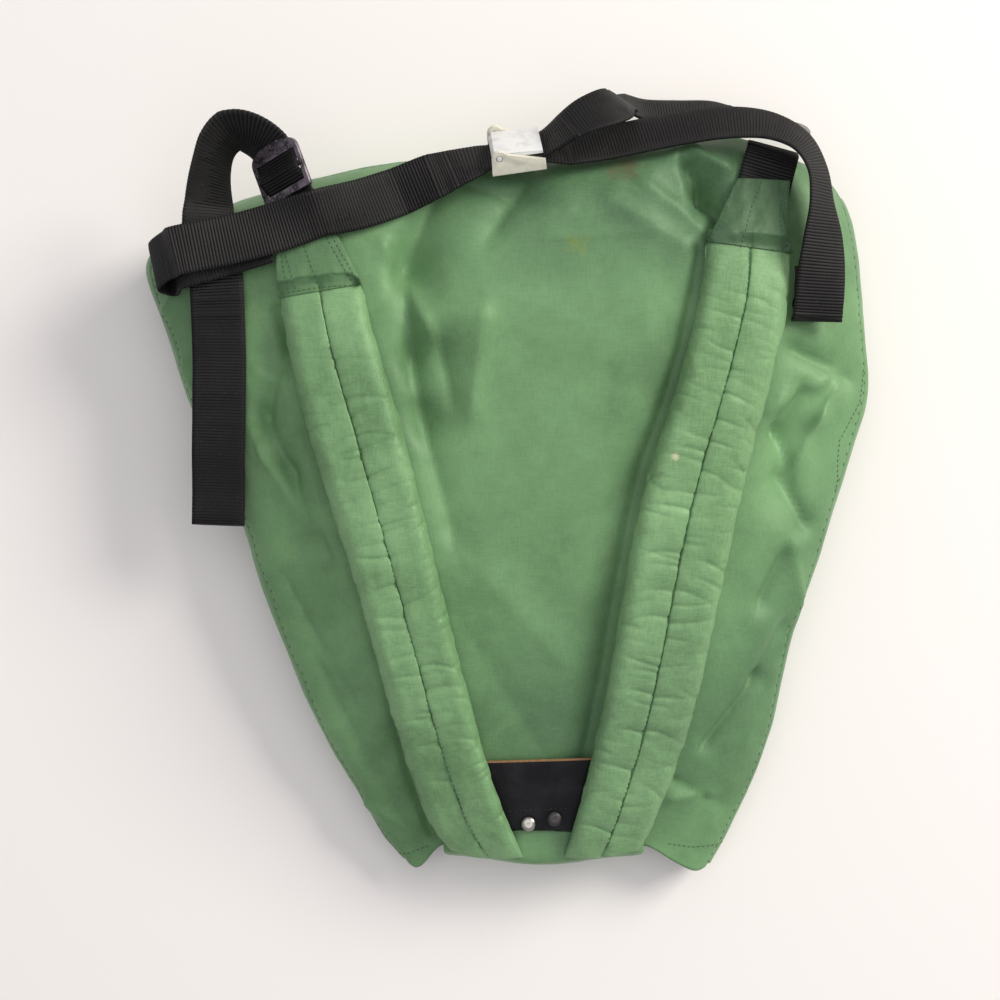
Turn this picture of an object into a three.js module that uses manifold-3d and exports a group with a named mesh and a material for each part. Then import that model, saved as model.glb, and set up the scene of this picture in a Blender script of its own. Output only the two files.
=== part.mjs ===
import * as THREE from 'three';
import { mergeVertices } from 'three/addons/utils/BufferGeometryUtils.js';
import Module from 'manifold-3d';

const wasm = await Module();
wasm.setup();

// A hiking daypack laid on its front, in millimetres. X runs across the bag, Y from its mouth to its base,
// and Z up from the floor through the back panel, which carries the shoulder straps.
const bagLength = 450;
const bagWidth = 443;
const bagDepth = 88;
const mouthDepth = 40;
const clothThickness = 2;
const baseBulge = 5;
const seamTuck = 0.05;
const bodyRound = 0.66;
const mouthRound = 0.45;
const frontRound = 0.12;
const clearance = 0.4;

const lidThickness = 2.4;
const lidReach = 185;
const lidEdgeBulge = 5;
const lidRoot = 9;
const lidFlare = 0.22;
const lidLeft = -0.745;
const lidRight = 0.56;
const lidCornerDrop = 0.06;

const strapThickness = 14;
const tabThickness = 2.6;
const leatherThickness = 2.4;
const rivetRadius = 4.5;
const rivetHeight = 2.4;

const webbingThickness = 1.8;
const beltWidth = 28;
const adjusterWidth = 31;

const lockBar = 3;
const lockSlot = 7.8;
const lockGrip = 8.5;
const lockFoot = 4.5;
const lockThickness = 2.2;

const buckleLength = 31;
const buckleWall = 2.2;
const buckleHeight = 11;
const leverThickness = 2.4;
const pinRadius = 1.6;

const toRadians = Math.PI / 180;

const greenNylon = new THREE.MeshStandardMaterial({ color: 0x5f9162, roughness: 0.62, metalness: 0 });
const blackWebbing = new THREE.MeshStandardMaterial({ color: 0x1c1b1d, roughness: 0.8, metalness: 0 });
const blackLeather = new THREE.MeshStandardMaterial({ color: 0x1b1a1c, roughness: 0.55, metalness: 0 });
const nickel = new THREE.MeshStandardMaterial({ color: 0xbdb9ae, roughness: 0.3, metalness: 1 });
const steel = new THREE.MeshStandardMaterial({ color: 0x6f6770, roughness: 0.4, metalness: 0.9 });
const whitePlastic = new THREE.MeshStandardMaterial({ color: 0xe3e1dc, roughness: 0.45, metalness: 0 });

// Edges of the lying bag from the mouth (along 0) to the base (1), as shares of the bag's width.
const sideEdges = [
  { along: 0.0, left: -0.147, right: 0.284 },
  { along: 0.04, left: -0.174, right: 0.302 },
  { along: 0.1, left: -0.201, right: 0.33 },
  { along: 0.18, left: -0.244, right: 0.357 },
  { along: 0.27, left: -0.278, right: 0.376 },
  { along: 0.34, left: -0.302, right: 0.391 },
  { along: 0.4, left: -0.321, right: 0.404 },
  { along: 0.46, left: -0.34, right: 0.427 },
  { along: 0.54, left: -0.358, right: 0.449 },
  { along: 0.6, left: -0.379, right: 0.466 },
  { along: 0.66, left: -0.402, right: 0.482 },
  { along: 0.71, left: -0.422, right: 0.496 },
  { along: 0.77, left: -0.441, right: 0.49 },
  { along: 0.83, left: -0.456, right: 0.486 },
  { along: 0.9, left: -0.476, right: 0.482 },
  { along: 0.96, left: -0.495, right: 0.472 },
  { along: 1.0, left: -0.492, right: 0.46 },
];

// The mouth's and the base's edge from side to side (across -1 to 1), as shares of the bag's length.
const mouthEdge = [
  { across: -1.0, y: -0.497 },
  { across: -0.92, y: -0.509 },
  { across: -0.85, y: -0.496 },
  { across: -0.78, y: -0.474 },
  { across: -0.7, y: -0.47 },
  { across: 0.52, y: -0.47 },
  { across: 0.59, y: -0.472 },
  { across: 0.7, y: -0.488 },
  { across: 0.83, y: -0.505 },
  { across: 0.92, y: -0.512 },
  { across: 1.0, y: -0.503 },
];
const baseEdge = [
  { across: -1.0, y: 0.328 },
  { across: -0.93, y: 0.352 },
  { across: -0.84, y: 0.37 },
  { across: -0.67, y: 0.394 },
  { across: -0.47, y: 0.416 },
  { across: -0.27, y: 0.433 },
  { across: -0.05, y: 0.441 },
  { across: 0.14, y: 0.442 },
  { across: 0.41, y: 0.457 },
  { across: 0.55, y: 0.471 },
  { across: 0.66, y: 0.474 },
  { across: 0.76, y: 0.459 },
  { across: 0.86, y: 0.444 },
  { across: 0.93, y: 0.431 },
  { across: 1.0, y: 0.4 },
];

// Thickness of the lying bag along its length. fill is a share of the way from the mouth's to the full depth.
const fillRows = [
  { along: 0.0, fill: 0.0 },
  { along: 0.08, fill: 0.2 },
  { along: 0.16, fill: 0.44 },
  { along: 0.28, fill: 0.68 },
  { along: 0.42, fill: 0.84 },
  { along: 0.58, fill: 0.93 },
  { along: 0.75, fill: 0.99 },
  { along: 0.86, fill: 1.0 },
  { along: 0.93, fill: 0.97 },
  { along: 0.965, fill: 0.9 },
  { along: 0.985, fill: 0.76 },
  { along: 1.0, fill: 0.5 },
];

// Folds and dents of the back panel. x and spread are shares of the bag's width, y and reach of its length,
// rise of its depth; turn is the crease's direction in degrees from the X axis.
const backFolds = [
  { x: -0.13, y: 0.33, turn: 70, reach: 0.09, spread: 0.045, rise: -0.135 },
  { x: -0.09, y: 0.24, turn: 40, reach: 0.07, spread: 0.03, rise: 0.068 },
  { x: 0.02, y: 0.36, turn: 5, reach: 0.13, spread: 0.035, rise: 0.068 },
  { x: 0.02, y: -0.02, turn: 85, reach: 0.3, spread: 0.1, rise: -0.068 },
  { x: 0.24, y: 0.39, turn: 110, reach: 0.05, spread: 0.028, rise: -0.162 },
  { x: 0.2, y: 0.42, turn: 80, reach: 0.045, spread: 0.028, rise: 0.095 },
  { x: 0.24, y: 0.32, turn: 150, reach: 0.08, spread: 0.03, rise: 0.068 },
  { x: -0.32, y: 0.17, turn: 65, reach: 0.1, spread: 0.03, rise: -0.121 },
  { x: -0.36, y: 0.07, turn: 70, reach: 0.12, spread: 0.03, rise: 0.081 },
  { x: -0.26, y: -0.09, turn: 115, reach: 0.14, spread: 0.03, rise: -0.095 },
  { x: -0.2, y: -0.26, turn: 118, reach: 0.12, spread: 0.028, rise: -0.081 },
  { x: 0.4, y: 0.11, turn: 62, reach: 0.09, spread: 0.03, rise: -0.149 },
  { x: 0.43, y: 0.19, turn: 35, reach: 0.06, spread: 0.028, rise: 0.095 },
  { x: 0.37, y: 0.0, turn: 50, reach: 0.08, spread: 0.028, rise: -0.108 },
  { x: 0.34, y: -0.08, turn: 60, reach: 0.08, spread: 0.026, rise: 0.081 },
  { x: 0.31, y: -0.15, turn: 70, reach: 0.09, spread: 0.026, rise: -0.108 },
  { x: 0.28, y: -0.29, turn: 48, reach: 0.08, spread: 0.026, rise: -0.068 },
];

// Stations of the shell: columns from side to side, the steps down a side, and rows from mouth to base.
const columns = [
  -1, -0.96, -0.91, -0.85, -0.78, -0.7, -0.61, -0.51, -0.41, -0.31, -0.2, -0.08, 0.04, 0.16, 0.28, 0.39, 0.49,
  0.59, 0.67, 0.75, 0.83, 0.9, 0.95, 1,
];
const sideSteps = [1, 0.5, 0, -0.5, -1];
const rows = [
  0, 0.03, 0.07, 0.12, 0.17, 0.23, 0.29, 0.35, 0.41, 0.47, 0.53, 0.59, 0.65, 0.71, 0.77, 0.82, 0.87, 0.91,
  0.945, 0.97, 0.988, 1,
];

// Edges of the padded straps from base to mouth, as shares of the bag's width and length: the left edge's
// point, the right edge's point, and the padding there as a share of the strap's thickness.
const leftStrapRows = [
  { lx: -0.298, ly: 0.249, rx: -0.187, ry: 0.265, pad: 0.55 },
  { lx: -0.286, ly: 0.188, rx: -0.175, ry: 0.214, pad: 0.95 },
  { lx: -0.271, ly: 0.119, rx: -0.154, ry: 0.144, pad: 1.0 },
  { lx: -0.253, ly: 0.056, rx: -0.134, ry: 0.079, pad: 1.0 },
  { lx: -0.23, ly: -0.021, rx: -0.115, ry: 0.002, pad: 1.0 },
  { lx: -0.205, ly: -0.097, rx: -0.097, ry: -0.074, pad: 1.0 },
  { lx: -0.18, ly: -0.188, rx: -0.075, ry: -0.164, pad: 1.0 },
  { lx: -0.157, ly: -0.28, rx: -0.052, ry: -0.256, pad: 0.95 },
  { lx: -0.13, ly: -0.373, rx: -0.027, ry: -0.349, pad: 0.9 },
  { lx: -0.104, ly: -0.442, rx: -0.004, ry: -0.421, pad: 0.75 },
  { lx: -0.083, ly: -0.468, rx: 0.014, ry: -0.468, pad: 0.45 },
];
const rightStrapRows = [
  { lx: 0.255, ly: 0.318, rx: 0.369, ry: 0.306, pad: 0.55 },
  { lx: 0.247, ly: 0.258, rx: 0.364, ry: 0.235, pad: 0.95 },
  { lx: 0.23, ly: 0.182, rx: 0.346, ry: 0.159, pad: 1.0 },
  { lx: 0.207, ly: 0.106, rx: 0.326, ry: 0.084, pad: 1.0 },
  { lx: 0.182, ly: 0.03, rx: 0.307, ry: 0.007, pad: 1.0 },
  { lx: 0.163, ly: -0.046, rx: 0.291, ry: -0.069, pad: 1.0 },
  { lx: 0.147, ly: -0.136, rx: 0.273, ry: -0.159, pad: 1.0 },
  { lx: 0.133, ly: -0.227, rx: 0.255, ry: -0.251, pad: 0.95 },
  { lx: 0.115, ly: -0.32, rx: 0.232, ry: -0.342, pad: 0.9 },
  { lx: 0.094, ly: -0.414, rx: 0.2, ry: -0.431, pad: 0.75 },
  { lx: 0.082, ly: -0.467, rx: 0.181, ry: -0.467, pad: 0.45 },
];
const strapStations = 30;

// Cross-section of a padded strap: across from edge to edge, and its height as a share of the padding there.
// The dip in the middle is the quilting channel.
const strapSection = [
  { across: -1.0, height: 0.3 },
  { across: -0.93, height: 0.7 },
  { across: -0.75, height: 0.95 },
  { across: -0.45, height: 1.0 },
  { across: -0.16, height: 0.84 },
  { across: 0.0, height: 0.5 },
  { across: 0.16, height: 0.84 },
  { across: 0.45, height: 1.0 },
  { across: 0.75, height: 0.95 },
  { across: 0.93, height: 0.7 },
  { across: 1.0, height: 0.3 },
];
const strapSole = [0.96, 0.5, 0, -0.5, -0.96];

// Edges of the straps' flat stitched tabs. A tab starts at its padded strap's end, a seam's clearance from it.
const seamShare = clearance / bagLength;
const tabStart = ({ lx, ly, rx, ry }) => ({ lx, ly: ly + seamShare, rx, ry: ry + seamShare });
const leftTabRows = [
  tabStart(leftStrapRows[0]),
  { lx: -0.3, ly: 0.29, rx: -0.205, ry: 0.3 },
  { lx: -0.299, ly: 0.342, rx: -0.232, ry: 0.352 },
];
const rightTabRows = [
  tabStart(rightStrapRows[0]),
  { lx: 0.272, ly: 0.352, rx: 0.362, ry: 0.348 },
  { lx: 0.297, ly: 0.403, rx: 0.366, ry: 0.4 },
];

// Corners of the leather patch between the straps' roots, and the rivets' places on it.
const patchRows = [
  { lx: -0.05, ly: -0.352, rx: 0.13, ry: -0.345 },
  { lx: -0.046, ly: -0.4, rx: 0.132, ry: -0.396 },
  { lx: -0.03, ly: -0.446, rx: 0.124, ry: -0.446 },
];
const rivetPlaces = [
  { name: 'rivet_left', x: 0.028, y: -0.436 },
  { name: 'rivet_right', x: 0.063, y: -0.429 },
];

// Routes of the webbing, as shares of the bag's width and length. Where a band lies, its height comes from
// what it lies on; keep, a share of the bag's depth, holds it up where it is stiff enough to stand free.
const beltUnderRoute = [
  { x: -0.31, y: 0.324, keep: 0 },
  { x: -0.355, y: 0.313, keep: 0 },
  { x: -0.395, y: 0.301, keep: 0.72 },
  { x: -0.446, y: 0.288, keep: 0.74 },
];
const beltLeftRoute = [
  { x: -0.446, y: 0.304, keep: 0.8 },
  { x: -0.41, y: 0.312, keep: 0 },
  { x: -0.368, y: 0.32, keep: 0 },
  { x: -0.303, y: 0.335, keep: 0 },
  { x: -0.239, y: 0.353, keep: 0 },
  { x: -0.19, y: 0.368, keep: 0 },
  { x: -0.139, y: 0.388, keep: 0 },
];

// Routes of bands that stand partly free. z is a share of the bag's depth, and roll turns the band about its
// run, in degrees: at 0 it lies flat, and below 0 its left edge, seen along the run, is the lower one.
const beltLeftEndRoute = [
  { x: -0.1, y: 0.402, z: 1.02, roll: -14 },
  { x: -0.07, y: 0.414, z: 1.0, roll: -30 },
];
const beltRightRoute = [
  { x: 0.075, y: 0.44, z: 0.94, roll: -44 },
  { x: 0.12, y: 0.448, z: 0.93, roll: -39 },
  { x: 0.17, y: 0.458, z: 0.93, roll: -38 },
  { x: 0.222, y: 0.468, z: 0.93, roll: -38 },
  { x: 0.286, y: 0.475, z: 0.95, roll: -40 },
  { x: 0.34, y: 0.469, z: 0.99, roll: -45 },
  { x: 0.378, y: 0.447, z: 1.04, roll: -51 },
  { x: 0.398, y: 0.412, z: 1.06, roll: -56 },
  { x: 0.404, y: 0.37, z: 1.06, roll: -52 },
  { x: 0.406, y: 0.332, z: 1.05, roll: -34 },
  { x: 0.404, y: 0.28, z: 1.03, roll: -10 },
  { x: 0.402, y: 0.242, z: 1.0, roll: 0 },
  { x: 0.401, y: 0.223, z: 0.94, roll: 0 },
  { x: 0.402, y: 0.229, z: 0.86, roll: 0 },
  { x: 0.403, y: 0.256, z: 0.85, roll: 0 },
  { x: 0.403, y: 0.29, z: 0.84, roll: 0 },
];
const beltTailRoute = [
  { x: 0.075, y: 0.461, z: 1.14, roll: -46 },
  { x: 0.1, y: 0.474, z: 1.19, roll: -36 },
  { x: 0.126, y: 0.484, z: 1.18, roll: -30 },
  { x: 0.143, y: 0.493, z: 1.08, roll: -34 },
  { x: 0.15, y: 0.504, z: 0.9, roll: -46 },
  { x: 0.162, y: 0.509, z: 0.7, roll: -52 },
  { x: 0.19, y: 0.511, z: 0.5, roll: -52 },
  { x: 0.236, y: 0.512, z: 0.45, roll: -52 },
  { x: 0.276, y: 0.511, z: 0.48, roll: -54 },
  { x: 0.304, y: 0.505, z: 0.52, roll: -60 },
];
const leftAdjusterRoute = [
  { x: -0.335, y: 0.461, z: 1.04, roll: -46 },
  { x: -0.356, y: 0.46, z: 1.05, roll: -54 },
  { x: -0.373, y: 0.444, z: 1.04, roll: -58 },
  { x: -0.383, y: 0.415, z: 1.0, roll: -56 },
  { x: -0.388, y: 0.375, z: 0.94, roll: -40 },
  { x: -0.387, y: 0.33, z: 0.86, roll: -14 },
  { x: -0.382, y: 0.29, z: 0.84, roll: 0 },
  { x: -0.379, y: 0.24, z: 0.83, roll: 0 },
  { x: -0.38, y: 0.12, z: 0.76, roll: 0 },
  { x: -0.386, y: -0.04, z: 0.66, roll: 0 },
];
const leftAdjusterRootRoute = [
  { x: -0.262, y: 0.33, keep: 0 },
  { x: -0.268, y: 0.358, keep: 0 },
];
const rightLoopRoute = [
  { x: 0.328, y: 0.375, keep: 0 },
  { x: 0.336, y: 0.405, keep: 0 },
  { x: 0.344, y: 0.432, keep: 0 },
  { x: 0.348, y: 0.448, keep: 0.6 },
];

// Places of the hardware, in the same shares, with its turn about Z and its roll in degrees.
const buckleSeat = { x: 0.012, y: 0.43, turn: -82, roll: -50 };
const leftLockSeat = { x: -0.291, y: 0.405, turn: 20, roll: -38 };
const rightLockSeat = { x: 0.368, y: 0.488, z: 0.54, turn: -102, roll: -66 };

/** Value of one column of a table at a place along another, on a smooth curve through its rows. */
function follow(table, place, value, at) {
  const last = table.length - 1;
  let i = 0;
  while (i < last - 1 && at > table[i + 1][place]) i += 1;
  const p1 = table[i];
  const p2 = table[i + 1];
  const span = p2[place] - p1[place];
  const t = THREE.MathUtils.clamp((at - p1[place]) / span, 0, 1);
  const slope = (a, b) => (b[value] - a[value]) / (b[place] - a[place]);
  const here = slope(p1, p2);
  const before = i > 0 ? 0.5 * (slope(table[i - 1], p1) + here) : here;
  const after = i + 2 <= last ? 0.5 * (here + slope(p2, table[i + 2])) : here;
  const a = (2 * t - 3) * t * t + 1;
  const b = ((t - 2) * t + 1) * t * span;
  const c = (3 - 2 * t) * t * t;
  const d = (t - 1) * t * t * span;
  return a * p1[value] + b * before + c * p2[value] + d * after;
}

/** Height that the folds add at a place on the back panel. */
function foldHeight(x, y) {
  let sum = 0;
  for (const fold of backFolds) {
    const c = Math.cos(fold.turn * toRadians);
    const s = Math.sin(fold.turn * toRadians);
    const dx = x - fold.x * bagWidth;
    const dy = y - fold.y * bagLength;
    const along = (dx * c + dy * s) / (fold.reach * bagLength);
    const across = (dy * c - dx * s) / (fold.spread * bagWidth);
    sum += fold.rise * bagDepth * Math.exp(-along * along - across * across);
  }
  return sum;
}

// Where the lid lies under the bag's front, the front is lifted by the lid; past the lid it sinks to the floor.
const lidLift = lidThickness + clearance;
const lidEnd = lidReach / bagLength;
const settleStart = lidEnd + 0.06;
const settleEnd = lidEnd + 0.2;

/** One point of the bag's outer surface: along 0..1, across -1..1, up from -1 (front) to 1 (back panel). */
function bagPoint(along, across, up) {
  const left = follow(sideEdges, 'along', 'left', along) * bagWidth;
  const right = follow(sideEdges, 'along', 'right', along) * bagWidth;
  const x = (left + right) / 2 + ((right - left) / 2) * across * Math.sqrt(1 - seamTuck * up * up);
  const yMouth = follow(mouthEdge, 'across', 'y', across) * bagLength;
  const yBase = follow(baseEdge, 'across', 'y', across) * bagLength;
  const y = THREE.MathUtils.lerp(yMouth, yBase, along);

  const lift = lidLift * (1 - THREE.MathUtils.smoothstep(along, settleStart, settleEnd));
  const depth = THREE.MathUtils.lerp(mouthDepth, bagDepth, follow(fillRows, 'along', 'fill', along)) - lift;
  const bodyCrown = Math.sqrt(1 - bodyRound * across ** 4);
  const mouthCrown = 1 - mouthRound * across * across;
  const crown = THREE.MathUtils.lerp(mouthCrown, bodyCrown, THREE.MathUtils.smoothstep(along, 0, 0.35));
  const edgeFade = (1 - across ** 6) * THREE.MathUtils.smoothstep(1 - along, 0, 0.06);
  const top = lift + depth * crown + foldHeight(x, y) * edgeFade;
  const bottom = lift + depth * frontRound * across ** 8;
  return new THREE.Vector3(x, y, THREE.MathUtils.lerp(bottom, top, (up + 1) / 2));
}

/** A closed mesh from vertices and triangles, with its faces turned outwards. */
function closedMesh(name, points, triangles, material) {
  let volume = 0;
  for (const [a, b, c] of triangles) {
    volume += points[a].dot(new THREE.Vector3().crossVectors(points[b], points[c]));
  }
  const index = triangles.flatMap(([a, b, c]) => (volume < 0 ? [a, c, b] : [a, b, c]));
  const geometry = new THREE.BufferGeometry();
  geometry.setAttribute('position', new THREE.Float32BufferAttribute(points.flatMap((p) => p.toArray()), 3));
  geometry.setIndex(index);
  geometry.computeVertexNormals();
  const mesh = new THREE.Mesh(geometry, material);
  mesh.name = name;
  return mesh;
}

/** A solid through a row of rings with equally many points, closed by a fan at each end. */
function loftSolid(name, rings, material) {
  const count = rings[0].length;
  const points = rings.flat();
  const triangles = [];
  for (let r = 0; r + 1 < rings.length; r += 1) {
    for (let k = 0; k < count; k += 1) {
      const a = r * count + k;
      const b = r * count + ((k + 1) % count);
      triangles.push([a, b, a + count], [b, b + count, a + count]);
    }
  }
  for (const [ring, base, turned] of [[rings[0], 0, true], [rings.at(-1), (rings.length - 1) * count, false]]) {
    const centre = new THREE.Vector3();
    ring.forEach((p) => centre.addScaledVector(p, 1 / count));
    const hub = points.push(centre) - 1;
    for (let k = 0; k < count; k += 1) {
      const a = base + k;
      const b = base + ((k + 1) % count);
      triangles.push(turned ? [hub, b, a] : [hub, a, b]);
    }
  }
  return closedMesh(name, points, triangles, material);
}

/** Sums, at each point of the sheets that share it, the normals of the faces round it. */
function sharedNormals(sheets) {
  const normals = new Map();
  for (const sheet of sheets) {
    for (let r = 0; r + 1 < sheet.length; r += 1) {
      for (let c = 0; c + 1 < sheet[r].length; c += 1) {
        const corners = [sheet[r][c], sheet[r][c + 1], sheet[r + 1][c + 1], sheet[r + 1][c]];
        const one = new THREE.Vector3().subVectors(corners[2], corners[0]);
        const two = new THREE.Vector3().subVectors(corners[3], corners[1]);
        const normal = new THREE.Vector3().crossVectors(one, two).normalize();
        for (const corner of corners) {
          if (!normals.has(corner)) normals.set(corner, new THREE.Vector3());
          normals.get(corner).add(normal);
        }
      }
    }
  }
  normals.forEach((normal) => normal.normalize());
  return normals;
}

/** Moves a sheet's border points towards their inner neighbours, which leaves the seam's clearance. */
function drawIn(grid, distance) {
  const out = grid.map((row) => row.map((p) => p.clone()));
  const lastRow = grid.length - 1;
  const lastColumn = grid[0].length - 1;
  const pull = (r, c, toRow, toColumn) => {
    const step = new THREE.Vector3().subVectors(grid[toRow][toColumn], grid[r][c]).setLength(distance);
    out[r][c].add(step);
  };
  for (let r = 0; r <= lastRow; r += 1) {
    pull(r, 0, r, 1);
    pull(r, lastColumn, r, lastColumn - 1);
  }
  for (let c = 0; c <= lastColumn; c += 1) {
    pull(0, c, 1, c);
    pull(lastRow, c, lastRow - 1, c);
  }
  return out;
}

/** A cloth panel: the sheet of outer points and one a cloth's thickness inside it, closed at its edges. */
function panelSolid(name, sheet, normals, thickness, material) {
  const inner = sheet.map((row) => row.map((p) => p.clone().addScaledVector(normals.get(p), -thickness)));
  const faces = [drawIn(sheet, clearance / 2), drawIn(inner, clearance / 2)];
  const height = sheet.length;
  const width = sheet[0].length;
  const points = faces.flat(2);
  const at = (face, r, c) => face * height * width + r * width + c;
  const triangles = [];
  const quad = (a, b, c, d) => triangles.push([a, b, c], [a, c, d]);
  for (let r = 0; r + 1 < height; r += 1) {
    for (let c = 0; c + 1 < width; c += 1) {
      quad(at(0, r, c), at(0, r, c + 1), at(0, r + 1, c + 1), at(0, r + 1, c));
      quad(at(1, r, c), at(1, r + 1, c), at(1, r + 1, c + 1), at(1, r, c + 1));
    }
    quad(at(0, r + 1, 0), at(1, r + 1, 0), at(1, r, 0), at(0, r, 0));
    quad(at(0, r, width - 1), at(1, r, width - 1), at(1, r + 1, width - 1), at(0, r + 1, width - 1));
  }
  for (let c = 0; c + 1 < width; c += 1) {
    quad(at(0, 0, c), at(1, 0, c), at(1, 0, c + 1), at(0, 0, c + 1));
    quad(at(0, height - 1, c + 1), at(1, height - 1, c + 1), at(1, height - 1, c), at(0, height - 1, c));
  }
  return closedMesh(name, points, triangles, material);
}

/** The bag's five sewn panels, open at the mouth. */
function bagPanels() {
  const top = rows.map((v) => columns.map((a) => bagPoint(v, a, 1)));
  const bottom = rows.map((v) => columns.map((a) => bagPoint(v, a, -1)));
  const side = (a, i) => rows.map((v, r) => sideSteps.map((b, j) => {
    if (j === 0) return top[r][i];
    if (j === sideSteps.length - 1) return bottom[r][i];
    return bagPoint(v, a, b);
  }));
  const left = side(-1, 0);
  const right = side(1, columns.length - 1);
  const lastRow = rows.length - 1;
  const base = sideSteps.map((b, j) => columns.map((a, i) => {
    if (j === 0) return top[lastRow][i];
    if (j === sideSteps.length - 1) return bottom[lastRow][i];
    if (i === 0) return left[lastRow][j];
    if (i === columns.length - 1) return right[lastRow][j];
    const point = bagPoint(1, a, b);
    point.y += baseBulge * (1 - b * b) * (1 - a ** 4);
    return point;
  }));
  const reversed = (sheet) => sheet.map((row) => [...row].reverse());
  const sheets = {
    back_panel: top,
    front_panel: reversed(bottom),
    side_panel_left: reversed(left),
    side_panel_right: right,
    base_panel: base,
  };
  const normals = sharedNormals(Object.values(sheets));
  return Object.entries(sheets).map(([name, sheet]) => panelSolid(name, sheet, normals, clothThickness, greenNylon));
}

/** Heights of the pieces laid so far, kept on a fine square grid, so that the next piece can rest on them. */
class Pile {
  constructor(cell) {
    this.cell = cell;
    this.heights = new Map();
  }

  key(i, j) {
    return i * 100000 + j;
  }

  raise(i, j, z) {
    const key = this.key(i, j);
    if (z > (this.heights.get(key) ?? 0)) this.heights.set(key, z);
  }

  add(mesh) {
    mesh.updateMatrixWorld(true);
    const geometry = mesh.geometry.index ? mesh.geometry.toNonIndexed() : mesh.geometry;
    const position = geometry.getAttribute('position');
    const corner = [new THREE.Vector3(), new THREE.Vector3(), new THREE.Vector3()];
    for (let i = 0; i < position.count; i += 3) {
      corner.forEach((p, k) => p.fromBufferAttribute(position, i + k).applyMatrix4(mesh.matrixWorld));
      this.addTriangle(...corner);
    }
  }

  addTriangle(a, b, c) {
    const area = (b.x - a.x) * (c.y - a.y) - (c.x - a.x) * (b.y - a.y);
    for (const p of [a, b, c]) this.raise(Math.round(p.x / this.cell), Math.round(p.y / this.cell), p.z);
    if (Math.abs(area) < 1e-6) return;
    const first = (k) => Math.ceil(Math.min(a[k], b[k], c[k]) / this.cell);
    const last = (k) => Math.floor(Math.max(a[k], b[k], c[k]) / this.cell);
    for (let i = first('x'); i <= last('x'); i += 1) {
      for (let j = first('y'); j <= last('y'); j += 1) {
        const x = i * this.cell;
        const y = j * this.cell;
        const u = ((b.x - x) * (c.y - y) - (c.x - x) * (b.y - y)) / area;
        const v = ((c.x - x) * (a.y - y) - (a.x - x) * (c.y - y)) / area;
        const w = 1 - u - v;
        if (u >= 0 && v >= 0 && w >= 0) this.raise(i, j, u * a.z + v * b.z + w * c.z);
      }
    }
  }

  top(x, y, reach) {
    const steps = Math.ceil(reach / this.cell);
    const i0 = Math.round(x / this.cell);
    const j0 = Math.round(y / this.cell);
    let height = 0;
    for (let i = -steps; i <= steps; i += 1) {
      for (let j = -steps; j <= steps; j += 1) height = Math.max(height, this.heights.get(this.key(i0 + i, j0 + j)) ?? 0);
    }
    return height;
  }
}

const pile = new Pile(2);
const restReach = 4;

/** Fills the hollows in a list of heights, as a stiff band bridges them, and never lowers one. */
function bridged(heights, rounds) {
  let list = [...heights];
  for (let n = 0; n < rounds; n += 1) {
    list = list.map((h, i) => (i === 0 || i === list.length - 1 ? h : Math.max(h, (list[i - 1] + list[i + 1]) / 2)));
  }
  return list;
}

/** Points at even steps along a table of paired edge points. */
function edgePairs(table, count) {
  const at = (kx, ky) => new THREE.CatmullRomCurve3(
    table.map((row) => new THREE.Vector3(row[kx] * bagWidth, row[ky] * bagLength, row.pad ?? 1)), false, 'centripetal',
  );
  const left = at('lx', 'ly');
  const right = at('rx', 'ry');
  return Array.from({ length: count }, (_, i) => [left.getPoint(i / (count - 1)), right.getPoint(i / (count - 1))]);
}

/** A flat piece of cloth or leather that rests on the pile between two edges. */
function laidSheet(name, table, count, thickness, material) {
  const acrossSteps = [-1, -0.6, -0.2, 0.2, 0.6, 1];
  const pairs = edgePairs(table, count);
  const soles = pairs.map(([left, right]) => acrossSteps.map((c) => {
    const p = new THREE.Vector3().lerpVectors(left, right, (c + 1) / 2);
    p.z = pile.top(p.x, p.y, restReach) + clearance;
    return p;
  }));
  const columnsOfHeights = acrossSteps.map((_, k) => bridged(soles.map((row) => row[k].z), 6));
  const rings = soles.map((row, r) => {
    row.forEach((p, k) => {
      p.z = columnsOfHeights[k][r];
    });
    const upper = row.map((p) => p.clone().setZ(p.z + thickness));
    return [...upper, ...row.reverse()];
  });
  return loftSolid(name, rings, material);
}

/** A padded shoulder strap: two soft ribs with a quilting channel between them, resting on the pile. */
function paddedStrap(name, table) {
  const pairs = edgePairs(table, strapStations);
  const soleHeights = strapSole.map((c) => bridged(pairs.map(([left, right]) => {
    const p = new THREE.Vector3().lerpVectors(left, right, (c + 1) / 2);
    return pile.top(p.x, p.y, restReach) + clearance;
  }), 4));
  const rings = pairs.map(([left, right], r) => {
    const padding = strapThickness * left.z;
    const sole = strapSole.map((c, k) => {
      const p = new THREE.Vector3().lerpVectors(left, right, (c + 1) / 2);
      return p.setZ(soleHeights[k][r]);
    });
    const soleAt = (c) => {
      const s = THREE.MathUtils.clamp(((c / strapSole[0] + 1) / 2) * (sole.length - 1), 0, sole.length - 1);
      const i = Math.min(Math.floor(s), sole.length - 2);
      const k = sole.length - 1 - i;
      return THREE.MathUtils.lerp(sole[k].z, sole[k - 1].z, s - i);
    };
    const upper = strapSection.map(({ across, height }) => {
      const p = new THREE.Vector3().lerpVectors(left, right, (across + 1) / 2);
      return p.setZ(soleAt(across) + padding * height);
    });
    return [...upper, ...sole];
  });
  return loftSolid(name, rings, greenNylon);
}

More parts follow.
